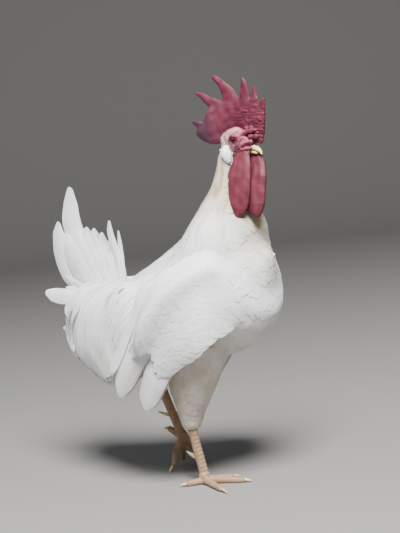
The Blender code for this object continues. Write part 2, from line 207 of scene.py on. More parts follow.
def move_points(mesh, points):
    mesh.vertices.foreach_set("co", np.asarray(points, np.float32).ravel())
    mesh.update()


def grid_quads(rows, columns, closed=True):
    """The faces between rows of points, each row an open line or a closed ring."""
    first = np.arange(rows * columns).reshape(rows, columns)
    after = np.roll(first, -1, axis=1)
    quads = np.stack([first[:-1], after[:-1], after[1:], first[1:]], axis=-1)
    return (quads if closed else quads[:, :-1]).reshape(-1, 4)


def quad_mesh(name, points, quads):
    """A smooth-shaded mesh from arrays of points and of four-cornered faces."""
    mesh = bpy.data.meshes.new(name)
    mesh.vertices.add(len(points))
    mesh.vertices.foreach_set("co", np.asarray(points, np.float32).ravel())
    mesh.loops.add(len(quads) * 4)
    mesh.loops.foreach_set("vertex_index", np.asarray(quads, np.int32).ravel())
    mesh.polygons.add(len(quads))
    mesh.polygons.foreach_set("loop_start", np.arange(0, len(quads) * 4, 4, dtype=np.int32))
    mesh.polygons.foreach_set("use_smooth", np.ones(len(quads), bool))
    mesh.update(calc_edges=True)
    return mesh


def place(name, mesh):
    made = bpy.data.objects.new(name, mesh)
    bpy.context.scene.collection.objects.link(made)
    return made


def attribute(mesh, name, values, kind="FLOAT"):
    """Stores a value or a colour for each point of a mesh."""
    layer = mesh.attributes.new(name, kind, "POINT")
    key = "value" if kind == "FLOAT" else "color"
    layer.data.foreach_set(key, np.array(values, np.float32).ravel())


def mesh_from(work, name):
    """The mesh of a bmesh, which is freed."""
    mesh = bpy.data.meshes.new(name)
    work.to_mesh(mesh)
    work.free()
    return mesh


def in_mm(length):
    """A length from the settings in millimetres, without the stray digits of a short float."""
    return round(length / MM, 3)


def node_mesh(name):
    return bpy.data.objects[name].data


def swollen(mesh, by_mm):
    """Moves the points of a mesh outwards, all alike or each by its own distance."""
    move_points(mesh, points_of(mesh) + normals_of(mesh) * np.reshape(by_mm, (-1, 1)) * MM)


def remeshed(made, voxel_mm):
    """Draws a closed mesh again as one even skin of small faces."""
    step = made.modifiers.new("remesh", "REMESH")
    step.mode = "VOXEL"
    step.voxel_size = voxel_mm * MM
    step.use_smooth_shade = True
    graph = bpy.context.evaluated_depsgraph_get()
    mesh = bpy.data.meshes.new_from_object(made.evaluated_get(graph))
    made.modifiers.clear()
    made.data = mesh
    return made


def voxelled(name, meshes, voxel_mm):
    """Overlapping closed meshes fused into one."""
    work = bmesh.new()
    for mesh in meshes:
        work.from_mesh(mesh)
    return remeshed(place(name, mesh_from(work, name)), voxel_mm)


def links_of(mesh):
    """Both ends of all edges, the ends across from them, and the number of links of each point."""
    first, second = read(mesh.edges, "vertices", 2, np.int32).T
    ends = np.concatenate([first, second])
    return ends, np.concatenate([second, first]), np.bincount(ends, minlength=len(mesh.vertices))


def relaxed(mesh, rounds, keep_volume=True, where=None):
    """Smooths away facets. Each inward step is followed by one outward, so nothing shrinks.

    where holds the share, 0 to 1, by which each point takes part."""
    points = points_of(mesh)
    taking = 1.0 if where is None else where[:, None]
    ends, others, links = links_of(mesh)
    for _ in range(rounds):
        for share in (0.5, -0.52) if keep_volume else (0.5,):
            sums = [np.bincount(ends, points[others, k], len(points)) for k in range(3)]
            points = points + share * taking * (np.stack(sums, axis=1) / links[:, None] - points)
    move_points(mesh, points)


def spread(mesh, values, rounds):
    """A value held at each point, blurred over its neighbours."""
    ends, others, links = links_of(mesh)
    for _ in range(rounds):
        values = (values + np.bincount(ends, values[others], len(values)) / links) / 2
    return values


def tube(name, rows, sides=12):
    """A closed rod through rows of x, y, z and radius, with round ends, in metres."""
    rows = np.array(rows, float)
    centres = rows[:, :3]
    along = unit(np.gradient(centres, axis=0))
    side = unit(np.cross(along, (0.31, 0.27, 0.91)))
    upward = np.cross(side, along)
    angles = np.linspace(0, 2 * math.pi, sides, endpoint=False)[:, None]
    ring = side[:, None] * np.cos(angles) + upward[:, None] * np.sin(angles)
    points = (centres[:, None] + ring * rows[:, 3, None, None]).reshape(-1, 3)
    last = (len(rows) - 1) * sides
    ends = [tuple(range(sides))[::-1], tuple(range(last, last + sides))]
    mesh = bpy.data.meshes.new(name)
    mesh.from_pydata(points.tolist(), [], grid_quads(len(rows), sides).tolist() + ends)
    return mesh


def ball(name, middle, radii_mm, turn=HEAD_TURN):
    """A closed egg shape with these three radii, standing in the head's directions or others."""
    work = bmesh.new()
    bmesh.ops.create_uvsphere(work, u_segments=20, v_segments=12, radius=1)
    mesh = mesh_from(work, name)
    size = Matrix.Diagonal((*(radius * MM for radius in radii_mm), 1))
    mesh.transform(Matrix.Translation(middle) @ turn.to_4x4() @ size)
    return mesh


# ------------------------------------------------------------------ materials


def wire(node, inputs):
    """Links or sets the inputs of a node, given by name or number."""
    for key, value in inputs.items():
        if isinstance(value, bpy.types.NodeSocket):
            node.id_data.links.new(value, node.inputs[key])
        else:
            node.inputs[key].default_value = value


def add_node(tree, kind, inputs=None, out=0, **settings):
    """Adds a node with its settings and its inputs' links and values, and gives one output."""
    made = tree.nodes.new("ShaderNode" + kind)
    for key, value in settings.items():
        setattr(made, key, value)
    wire(made, inputs or {})
    return made.outputs[out]


# Settings of a Mix node that blends two colours, or multiplies them.
BLEND = {"data_type": "RGBA"}
TIMES = {"data_type": "RGBA", "blend_type": "MULTIPLY"}


def stops(ramp, *marks):
    """Sets a colour ramp, given by its output, to (position, colour) marks."""
    held = ramp.node.color_ramp.elements
    while len(held) < len(marks):
        held.new(0.5)
    for mark, (position, colour) in zip(held, marks):
        mark.position = position
        mark.color = colour
    return ramp


def new_material(name, inputs):
    made = bpy.data.materials.new(name)
    made.use_nodes = True
    shader = made.node_tree.nodes["Principled BSDF"]
    wire(shader, inputs)
    return made, made.node_tree, shader


def feather_vane(name, white, cream, barb_mm, length_mm):
    """Feather vane: white keratin barbs grown side by side from a shaft. It is matt and soft to
    the eye, with fine slanting barb lines and a cream tint where tinted, partly staining and
    partly painted shade. Some of the light comes through it, so that the shadows under its edges
    stay pale. The barbs are too fine to show, so they are drawn coarser than they are."""
    surface = {"Roughness": 0.6, "Specular IOR Level": 0.25, "Sheen Weight": 0.12, "Sheen Roughness": 0.4}
    made, tree, shader = new_material(name, surface)
    vane = add_node(tree, "UVMap", uv_map="Vane")
    across, along = add_node(tree, "SeparateXYZ", {0: vane}).node.outputs[:2]
    middle = add_node(tree, "Math", {0: across, 1: 0.5}, operation="SUBTRACT")
    side = add_node(tree, "Math", {0: middle}, operation="ABSOLUTE")
    slant = add_node(tree, "Math", {0: side, 1: 0.5}, operation="MULTIPLY")
    run = add_node(tree, "Math", {0: along, 1: slant}, operation="SUBTRACT")
    turns = 2 * math.pi * length_mm / barb_mm
    swing = add_node(tree, "Math", {0: run, 1: turns}, operation="MULTIPLY")
    barbs = add_node(tree, "Math", {0: swing}, operation="SINE")
    tint = add_node(tree, "Attribute", out="Fac", attribute_name="tint")
    base = add_node(tree, "Mix", {0: tint, 6: tuple(white), 7: tuple(cream)}, 2, **BLEND)
    groove = add_node(tree, "MapRange", {0: barbs, 1: -1.0, 2: 1.0, 3: 0.94, 4: 1.0})
    colour = add_node(tree, "Mix", {0: 1.0, 6: base, 7: groove}, 2, **TIMES)
    bump = add_node(tree, "Bump", {"Strength": 0.25, "Distance": 0.0002, "Height": barbs})
    wire(shader, {"Base Color": colour, "Normal": bump})
    through = add_node(tree, "BsdfTranslucent", {"Color": colour})
    both = add_node(tree, "MixShader", {0: 0.35, 1: shader.outputs["BSDF"], 2: through})
    wire(tree.nodes["Material Output"], {"Surface": both})
    return made


def living_skin():
    """Bare skin and the down under the coat: blood-red comb and wattles, pink face, white lobes.
    Beads of about a millimetre break its shine, and its thin edges let a little light through."""
    surface = {"Roughness": 0.6, "Specular IOR Level": 0.32, "Subsurface Weight": 0.1}
    surface |= {"Subsurface Radius": (1.0, 0.3, 0.2), "Subsurface Scale": 0.0025}
    made, tree, shader = new_material("bare_skin_beaded", surface)
    bead_mm, blotch_mm = 1.1111, 5.5556
    where = add_node(tree, "TexCoord", out="Object")
    hue = add_node(tree, "Attribute", attribute_name="hue")
    grain = add_node(tree, "Attribute", out="Fac", attribute_name="grain")
    pattern = {"Vector": where, "Scale": 1000 / blotch_mm, "Detail": 5.0, "Roughness": 0.6}
    blotch = add_node(tree, "TexNoise", pattern)
    mottle = add_node(tree, "MapRange", {0: blotch, 1: 0.3, 2: 0.7, 3: 0.88, 4: 1.1})
    colour = add_node(tree, "Mix", {0: 1.0, 6: hue, 7: mottle}, 2, **TIMES)
    beads = add_node(tree, "TexVoronoi", {0: where, "Scale": 1000 / bead_mm}, feature="SMOOTH_F1")
    height = add_node(tree, "Math", {0: beads, 1: grain}, operation="MULTIPLY")
    relief = {"Strength": 0.6, "Distance": 0.0006, "Height": height}
    wire(shader, {"Base Color": colour, "Normal": add_node(tree, "Bump", relief, invert=True)})
    return made


def horn(name, dark, mid, pale, line_mm, roughness):
    """Horn of beak, claw or spur: keratin laid down in layers and worn smooth. It has fine
    growth lines and a satin shine."""
    surface = {"Roughness": roughness, "Subsurface Weight": 0.06, "Subsurface Scale": 0.001}
    made, tree, shader = new_material(name, surface)
    pattern = {"Vector": add_node(tree, "TexCoord", out="Object"), "Scale": 1000 / line_mm}
    lines = add_node(tree, "TexNoise", pattern | {"Detail": 3.0, "Distortion": 0.5})
    colour = stops(add_node(tree, "ValToRGB", {0: lines}), (0.3, dark), (0.5, mid), (0.7, pale))
    bump = add_node(tree, "Bump", {"Strength": 0.25, "Distance": 0.0002, "Height": lines})
    wire(shader, {"Base Color": colour, "Normal": bump})
    return made


def iris_stain(colour):
    """Eye: a wet clear surface over a brown-red iris with fine spokes from the pupil."""
    surface = {"Roughness": 0.08, "Specular IOR Level": 0.35, "Coat Weight": 0.3, "Coat Roughness": 0.02}
    made, tree, shader = new_material("eye_wet_iris", surface)
    spokes = add_node(tree, "Attribute", out="Fac", attribute_name="spoke")
    ring = add_node(tree, "Attribute", out="Fac", attribute_name="ring")
    rings = stops(
        add_node(tree, "ValToRGB", {0: ring}),
        (0.0, linear("#0A0706")),
        (0.36, linear("#0A0706")),
        (0.4, linear("#5A2410")),
        (0.5, colour),
        (0.74, colour),
        (0.88, linear("#5C2318")),
        (1.0, linear("#1B0D0B")),
    )
    shade = add_node(tree, "MapRange", {0: spokes, 1: 0.0, 2: 1.0, 3: 0.6, 4: 1.35})
    wire(shader, {"Base Color": add_node(tree, "Mix", {0: 1.0, 6: rings, 7: shade}, 2, **TIMES)})
    return made


def plain(name, colour, roughness):
    """Matt painted board: an even, shadow-catching surface that leaves the bird to be seen."""
    return new_material(name, {"Base Color": colour, "Roughness": roughness})[0]


# ------------------------------------------------------------------ skin


HEAD_NODES = ["head", "comb", *pairs("wattle", "ear_lobe")]
FLESH = ["trunk", "neck", *HEAD_NODES, *pairs("thigh", "shank", "foot", "wing")]
# Rings of skin round each eye: their opening in degrees, how far out they lie and their size.
LIDS = ((44, 7.2, 0.75), (54, 7.8, 1.1), (65, 8.2, 1.6), (78, 8.2, 2.2))
# Rolls of the face as points ahead, left and up, each with a radius: the brow, the jaw, the
# cheek, the roll over the nostril and the corner of the mouth.
ROLLS = (
    ((-7, 12.6, 8.2, 1.2), (0, 13.6, 10.2, 1.7), (8, 12, 9, 1.6), (13, 9.5, 5, 1.2)),
    ((18, 5.2, -15, 2.0), (11, 8.8, -17, 2.8), (3, 11.6, -17, 2.8), (-4, 13.6, -16, 2.2)),
    ((24, 6, -3, 2.0), (14, 10, -4.5, 2.3), (5, 12.6, -9.5, 2.0), (-3, 14.4, -8.5, 1.5)),
    ((10, 9, 8, 2.2), (17, 7.4, 8.4, 2.7), (24, 5.6, 9.4, 2.7), (30, 4, 10, 2.3)),
    ((22, 5.6, -11, 1.6), (15, 8.4, -11.2, 2.0), (8, 11.2, -13, 2.0), (2, 12.8, -14, 1.6)),
)
# Warts where the comb grows out of the face, by the same measures.
WARTS = ((28.5, 4.6, 2, 4.0), (22, 6.4, 2.5, 3.6), (30, 2.8, 6.5, 3.2), (22, 4.6, 13, 3.2), (15, 6, 13, 2.8))


def lid_ring(side, opening, radius_mm, tube_mm):
    """A ring of skin round the eye, lying on a ball of this radius about the eye's centre."""
    rows = []
    for turn in np.linspace(0, 2 * math.pi, 30):
        across, up = math.cos(turn), math.sin(turn)
        # The opening is an almond: wider than high, drawn out a little to its two corners.
        angle = math.radians(opening * (0.86 + 0.2 * abs(across) ** 3))
        spot = HEAD_LEFT * SIDES[side] * math.cos(angle)
        spot += (HEAD_AHEAD * across + UP * up) * math.sin(angle)
        thick = tube_mm * (1.15 if up > 0 else 1.0)
        rows.append((*(EYES[side] + spot * radius_mm * MM), thick * MM))
    return tube("lid", rows, 10)


def top_of_neck():
    """The neck above a slanting plane under the head, closed again where it is cut."""
    work = bmesh.new()
    work.from_mesh(node_mesh("neck"))
    plane = {"plane_co": in_head(-10, 0, -52), "plane_no": (0.35, 0, 1), "dist": 1e-7}
    geometry = work.verts[:] + work.edges[:] + work.faces[:]
    bmesh.ops.bisect_plane(work, geom=geometry, clear_inner=True, **plane)
    bmesh.ops.holes_fill(work, edges=[edge for edge in work.edges if edge.is_boundary])
    return mesh_from(work, "top_of_neck")


def face_folds():
    """Rolls of bare skin that the solids leave out: lids, jaw rolls, and folds over the nostrils."""
    made = []
    for side, way in SIDES.items():
        made += [lid_ring(side, *ring) for ring in LIDS]
        for rows in ROLLS:
            path = [(*in_head(a, left * way, up), size * MM) for a, left, up, size in rows]
            made.append(tube("fold", spline(path, 14)))
        for ahead, left, up, size in WARTS:
            made.append(ball("wart", in_head(ahead, left * way, up), (size, size * 0.8, size * 0.75)))
    return made


def region_shares(mesh, names):
    """For each point, how far it belongs to each node's region, blurred where they meet."""
    trees = [tree_of(node_mesh(name)) for name in names]
    gaps = [[tree.find_nearest(spot)[3] for tree in trees] for spot in points_of(mesh).tolist()]
    nearest = np.array(gaps).argmin(axis=1)
    return {name: spread(mesh, (nearest == k) * 1.0, 6) for k, name in enumerate(names)}


def bare_edge(spots):
    """How far in mm a head place lies behind the line where the bare face ends."""
    return -0.78 * (spots[:, 0] + 12) - 0.5 * spots[:, 2]


def painted(hue, *layers):
    """A colour with others laid over it, each given with its share at each point."""
    hue = np.array(hue)
    for colour, share in layers:
        hue = hue + (np.array(colour) - hue) * share[:, None]
    return hue


def colour_skin(mesh, hue, grain):
    """Stores the colour of each point of a skin, and how strongly its beads stand out there."""
    count = len(mesh.vertices)
    hue = np.clip(np.broadcast_to(hue, (count, 4)), 0, 1)
    hue[:, 3] = 1
    attribute(mesh, "hue", hue, "FLOAT_COLOR")
    attribute(mesh, "grain", np.broadcast_to(grain, count))


def head_skin(sizes, colours):
    """The bare head: comb, face, lids, wattles and lobes flowing into one another."""
    meshes = [node_mesh(name) for name in HEAD_NODES] + [top_of_neck()] + face_folds()
    made = voxelled("head_skin", meshes, in_mm(sizes.face_detail))
    mesh = made.data
    relaxed(mesh, 26)
    shares = region_shares(mesh, HEAD_NODES + ["neck"])
    spots = head_mm(points_of(mesh))
    ahead, _, up = spots.T
    comb = shares["comb"]
    wattle = shares["wattle_right"] + shares["wattle_left"]
    lobe = shares["ear_lobe_right"] + shares["ear_lobe_left"]
    from_eye = np.hypot(ahead - EYE_AHEAD, up)
    feathered = smoothstep(-3, 4, bare_edge(spots)) * (1 - lobe) * (1 - comb) * (1 - wattle)

    # Comb: creased at the front, where it grows out of the nose, and smooth on the rear lobe.
    front = smoothstep(-12, 18, ahead) * smoothstep(52, 24, up)
    crease = np.abs(waves(spots * (0.3, 0.6, 1.0), 5.2, 3))
    fine = np.abs(waves(spots * (0.5, 0.8, 1.0), 2.8, 5))
    lift = comb * (front * (0.55 * crease + 0.35 * fine - 0.36) + 0.35 * waves(spots, 13, 7))
    # Uneven scallops along the leading edge of the comb.
    edge = smoothstep(34, 40, ahead) * smoothstep(46, 36, up) * comb
    lift += edge * 0.3 * np.sin(up * 2 * math.pi / 5.5 + 1.6 * waves(spots, 9, 8))
    # Wattles: long soft folds that hang down, with their tops drawn into upright pleats.
    lift += wattle * (0.55 * waves(spots * (1, 1, 0.15), 10, 11) + 0.03 * waves(spots, 4.5, 12))
    lift += wattle * 0.1 * waves(spots * (1, 1, 0.12), 3.4, 16) * smoothstep(-62, -24, up)
    # Face: rings of fine folds round the eye, and small creases elsewhere.
    face = np.clip(shares["head"] + shares["neck"], 0, 1) * (1 - feathered)
    rings = np.sin(from_eye * 2 * math.pi / 2.1 + 0.9 * waves(spots, 5, 13))
    small = np.abs(waves(spots, 3.2, 14))
    lift += face * 0.2 * rings * smoothstep(6.3, 8, from_eye) * smoothstep(17, 11, from_eye)
    lift += face * 0.22 * small * smoothstep(7, 10, from_eye)
    # Lobes: a smooth pale flap behind, crinkled along its front.
    lift += lobe * 0.3 * np.abs(waves(spots, 3.0, 15)) * smoothstep(-9, -4, ahead)
    lift -= feathered * in_mm(sizes.coat_depth) * 0.35
    swollen(mesh, lift)

    comb_red, wattle_red = np.array(colours.comb), np.array(colours.wattle)
    deep = linear("#551827")
    # Comb: a random flush of red. The raised ridges of the front creases are painted lighter, a painted
    # highlight, and their troughs darker, painted shade.
    flush_and_ridge_light = np.clip(0.5 + 0.35 * waves(spots, 17, 21) + 0.3 * front * (2 * crease - 0.6), 0, 1)
    # Wattles: random patches of red. Their tops, under the beak and jaw, are darkened as painted shade.
    hung = painted(
        wattle_red * 0.82,
        (wattle_red * 1.1, 0.5 + 0.5 * waves(spots, 12, 22)),
        (deep, 0.6 * smoothstep(-38, -24, up)),
    )
    # Face: dark red lids, a pale crescent over and behind them, and rose-red folds before them, with painted
    # shade in the troughs of the small creases ahead of the eye.
    patchy = waves(spots, 4, 23)
    behind = smoothstep(2, 8, 0.6 * up - 0.8 * (ahead - EYE_AHEAD))
    crescent = smoothstep(7.2, 9.2, from_eye + 0.5 * patchy) * smoothstep(21, 14, from_eye) * behind
    almond = np.hypot(ahead - EYE_AHEAD, up * 1.5)
    bare = painted(
        linear("#83304A"),
        (colours.face, np.clip(0.08 + 0.3 * patchy, 0, 1)),
        # Painted shade in the troughs of the face's small creases.
        (deep, 0.5 * smoothstep(0.35, 0.0, small) * (ahead > 6)),
        (colours.face, 0.9 * crescent),
        (linear("#5A1C2B"), smoothstep(9.5, 7.0, almond + 0.6 * patchy)),
        (linear("#A08FA8"), 0.75 * np.exp(-(((ahead + 2) / 7) ** 2) - ((up + 15) / 7.5) ** 2)),
    )
    bluish = 0.5 * smoothstep(-8, -3, ahead + 0.8 * waves(spots, 4, 24))
    under_coat = np.maximum(feathered, shares["neck"] * smoothstep(-20, -26, up))
    hue = painted(
        comb_red * 0.8,
        (comb_red * 1.12, flush_and_ridge_light),
        # Painted shade in the troughs of the comb's front creases.
        (deep, 0.25 * smoothstep(0.0, 1.0, front * (1 - crease))),
        # Painted shade: the rear, lower end of the comb, where it hangs over the nape, turns near-black
        # purple.
        (linear("#35222F"), 0.8 * smoothstep(-22, -45, ahead) * smoothstep(40, 25, up)),
        (hung, wattle),
        (bare, np.clip(shares["head"] * 1.3, 0, 1) * (1 - comb) * (1 - wattle)),
        (painted(colours.lobe, (linear("#A9A3C0"), bluish)), lobe),
        (linear("#E9E0D2"), np.clip(under_coat, 0, 1)),
    )
    grain = np.clip(0.45 * comb + 0.15 * wattle + 0.45 * face + 0.3 * lobe, 0.05, 1)
    colour_skin(mesh, hue, grain)
    WORK["head"] = Form(mesh)
    WORK["fleshy"] = comb + wattle + lobe
    return made


def body_skin(sizes):
    """The skin of trunk, neck, thighs and wings, inside the solids by the depth of the coat."""
    names = ["trunk", "neck", *pairs("thigh", "wing")]
    made = voxelled("body_skin", [node_mesh(name) for name in names], in_mm(sizes.body_detail))
    mesh = made.data
    relaxed(mesh, 8)
    x, y, z = body_mm(points_of(mesh)).T
    # It lies less deep by the head and round the hocks, where the feathers are short.
    right = smoothstep(150, 95, z) * (x > -40)
    left = smoothstep(185, 140, z) * (x < -40) * (np.abs(y) < 45)
    share = 1 - 0.55 * smoothstep(-60, -18, head_mm(points_of(mesh))[:, 2])
    share *= 1 - 0.6 * np.maximum(right, left) * (np.abs(y) < 70)
    swollen(mesh, -in_mm(sizes.coat_depth) * share)
    relaxed(mesh, 3, False)
    colour_skin(mesh, linear("#F2EDE6"), 0.2)
    return made


LEG_PATHS = {
    "right": [(10, -38, 104), (11, -37, 84), (15, -36, 52), (20, -35.4, 26), (23, -35, 10)],
    "left": [(-84, 26, 130), (-77, 26, 112), (-66, 25.4, 84), (-55, 25, 58), (-50, 25, 46)],
}
# Each toe's joint, knuckle and the root of its claw.
TOE_PATHS = {
    "right": [
        [(26, -34, 5), (48, -27.5, 3.9), (70, -20.5, 3.4)],
        [(26, -38, 5), (46, -51, 3.9), (67, -65, 3.4)],
        [(25, -32, 5), (36, -20, 3.9), (46, -8, 3.4)],
        [(21, -39, 5), (15, -46, 3.9), (8, -53, 3.2)],
    ],
    "left": [
        [(-49, 26, 42), (-57, 32, 26), (-60, 36, 11)],
        [(-47, 28, 42), (-46, 40, 28), (-44, 48, 16)],
        [(-49, 21, 42), (-54, 12, 26), (-53, 4, 11)],
        [(-54, 25, 46), (-62, 25, 50), (-70, 25, 54)],
    ],
}


def along_path(points_mm, path):
    """For each point: distance off the path, length along it, and the way straight off it."""
    line = spline(path, 40)
    gaps = np.linalg.norm(points_mm[:, None] - line[None], axis=2)
    nearest = gaps.argmin(axis=1)
    lengths = np.concatenate([[0], np.cumsum(np.linalg.norm(np.diff(line, axis=0), axis=1))])
    ways = unit(np.gradient(line, axis=0))[nearest]
    away = points_mm - line[nearest]
    run = lengths[nearest] + (away * ways).sum(axis=1)
    off = unit(away - (away * ways).sum(axis=1, keepdims=True) * ways)
    return gaps.min(axis=1), run, off, ways


def leg_skin(sizes, colours):
    """Scaly legs: broad overlapping plates down the front and over the toes, beads behind."""
    meshes = [node_mesh(name) for name in pairs("shank", "foot")]
    for side in SIDES:
        # The shank runs on up inside the thigh's feathers.
        top, lower = (Vector(p) for p in LEG_PATHS[side][:2])
        rows = ((top + (top - lower) * 0.9, 7.5), (top, 7.4), (top.lerp(lower, 0.6), 6.4))
        meshes.append(tube("hock", [(*at(*spot), radius * MM) for spot, radius in rows]))
    made = voxelled("leg_skin", meshes, in_mm(sizes.leg_detail))
    mesh = made.data
    relaxed(mesh, 14)
    points = body_mm(points_of(mesh))
    lift, groove = np.zeros((2, len(points)))
    best = np.full(len(points), 1e9)
    for side in SIDES:
        # On the lifted foot the tops of the toes face ahead and up.
        toe_front = (0.75, 0, 0.65) if side == "left" else (0, 0, 1)
        paths = [(LEG_PATHS[side], 5.2, (1, 0, 0.25), 1.5)]
        paths += [(path, 3.1, toe_front, 1.0) for path in TOE_PATHS[side]]
        for path, pitch, front, size in paths:
            gap, run, off, ways = along_path(points, path)
            face = unit(np.array(front) - (ways @ np.array(front))[:, None] * ways)
            plate = smoothstep(0.05, 0.45, (off * face).sum(axis=1))
            step = (run / pitch + 0.12 * off[:, 1]) % 1.0
            rise = 0.42 * size * (step - 0.5) * smoothstep(1.0, 0.86, step)
            back = 0.16 * np.abs(waves(points, 2.4, 31)) * size
            mine = gap < best
            best = np.minimum(best, gap)
            lift = np.where(mine, plate * rise + (1 - plate) * back, lift)
            groove = np.where(mine, plate * smoothstep(0.82, 0.95, step), groove)
    # The sole stays flat where it bears on the floor.
    swollen(mesh, np.minimum(lift * smoothstep(1.2, 2.4, points[:, 2]), 0.35))
    # Brown for random dirt. There is more on the lifted far leg, as painted shade for the shadow it stands
    # in under the wing. The darker grooves between the plates are their joints.
    dirt_and_shade_brown = np.array(linear("#835A3C"))
    dirt = np.clip(0.35 + 0.3 * waves(points, 14, 32), 0, 1)
    lifted = (points[:, 0] < -20) * 0.25
    layers = (dirt_and_shade_brown, np.clip(0.5 * dirt + lifted, 0, 1)), (dirt_and_shade_brown * 0.5, 0.55 * groove)
    colour_skin(mesh, painted(colours.scale, *layers), 0.5)
    return made


def joined_skins(name, parts):
    """Joins meshes of four-cornered faces into one with their colours kept, and removes them."""
    found = {"points": [], "quads": [], "hue": [], "grain": []}
    count = 0
    for part in parts:
        mesh = part.data
        corners = read(mesh.loops, "vertex_index", 1, np.int32).reshape(-1, 4)
        found["points"].append(points_of(mesh))
        found["quads"].append(corners + count)
        found["hue"].append(read(mesh.attributes["hue"].data, "color", 4))
        found["grain"].append(read(mesh.attributes["grain"].data, "value", 1))
        count += len(mesh.vertices)
        bpy.data.objects.remove(part)
    points, quads, hue, grain = (np.concatenate(each) for each in found.values())
    whole = quad_mesh(name, points, quads)
    colour_skin(whole, hue, grain.ravel())
    return place(name, whole)


def build_skin(sizes, colours):
    parts = [head_skin(sizes, colours), body_skin(sizes), leg_skin(sizes, colours)]
    skin = joined_skins("skin", parts)
    skin.data.materials.append(living_skin())
    return skin


# ------------------------------------------------------------------ eyes, beak and claws


def build_eye(side, colours):
    """An eyeball whose pole looks out of the lids, with a shallow clear bulge over the iris."""
    rings, spokes = 26, 56
    iris_angle, reach = math.radians(52), math.radians(118)
    low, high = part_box("eye_" + side)
    radius = (high[2] - low[2]) / 2
    out = (HEAD_LEFT * SIDES[side] + HEAD_AHEAD * 0.16).normalized()
    across = out.cross(UP).normalized()
    out, across, up = (np.array(way) for way in (out, across, across.cross(out)))
    angle = (reach * np.arange(rings + 1) / rings)[:, None, None]
    turn = (2 * math.pi * np.arange(spokes) / spokes)[:, None]
    ways = out * np.cos(angle) + (across * np.cos(turn) + up * np.sin(turn)) * np.sin(angle)
    bulge = 1 + 0.035 * np.exp(-((angle / 0.5) ** 2))
    points = (np.array(EYES[side]) + ways * radius * bulge).reshape(-1, 3)
    streak = np.random.default_rng(4).normal(size=spokes)
    streak = (np.roll(streak, 1) + streak * 2 + np.roll(streak, -1)) / 3
    mesh = quad_mesh("eyeball_" + side, points, grid_quads(rings + 1, spokes))
    attribute(mesh, "ring", np.repeat(np.minimum(angle / iris_angle, 1.3), spokes))
    attribute(mesh, "spoke", np.tile(0.5 + 0.35 * streak, rings + 1))
    mesh.materials.append(iris_stain(tuple(colours.iris)))
    return place("eyeball_" + side, mesh)


def refined(name, nodes, voxel_mm, rounds):
    """Solids of the frame drawn again with small smooth faces."""
    made = voxelled(name, [node_mesh(node) for node in nodes], voxel_mm)
    relaxed(made.data, rounds)
    return made


# ------------------------------------------------------------------ laying feathers


class Form:
    """A surface that feathers are laid on."""

    def __init__(self, mesh):
        self.points = points_of(mesh)
        self.faces = triangles_of(mesh)
        self.tree = tree_of(mesh)
        self.normals = unit(normals_of(mesh)[self.faces].sum(axis=1))

    def nearest(self, spots):
        found = [self.tree.find_nearest(spot) for spot in spots.tolist()]
        return np.array([near[0][:] for near in found]), self.normals[[near[2] for near in found]]

    def scattered(self, rng, spacing_of, within):
        """Random places that keep about the given distance in mm from each other."""
        crowd = 4.0  # how many places are tried for each that there is room for
        a, b, c = (self.points[self.faces[:, k]] for k in range(3))
        areas = np.linalg.norm(np.cross(b - a, c - a), axis=1) / 2 / MM**2
        middles = (a + b + c) / 3
        spacing = np.maximum(spacing_of(middles) * np.ones(len(middles)), 0.5)
        chance = np.where(within(middles), areas / spacing**2, 0)
        count = int(chance.sum() * crowd)
        picked = rng.choice(len(areas), count, p=chance / chance.sum())
        first, second = rng.random((2, count, 1))
        fold = first + second > 1
        first, second = np.where(fold, 1 - first, first), np.where(fold, 1 - second, second)
        spots = a[picked] + first * (b - a)[picked] + second * (c - a)[picked]
        return spots[thinned(spots / MM, spacing[picked])]


def thinned(spots, spacing):
    """Which places to keep so that each stands clear of those before it by its spacing."""
    cells, kept = {}, []
    keys = np.floor(spots / spacing.max()).astype(int).tolist()
    steps = (np.array(list(np.ndindex(3, 3, 3))) - 1).tolist()
    for index, ((i, j, k), spot, gap) in enumerate(zip(keys, spots.tolist(), spacing.tolist())):
        around = (cells.get((i + a, j + b, k + c), ()) for a, b, c in steps)
        if all(math.dist(spot, other) >= gap for cell in around for other in cell):
            cells.setdefault((i, j, k), []).append(spot)
            kept.append(index)
    return np.array(kept, int)


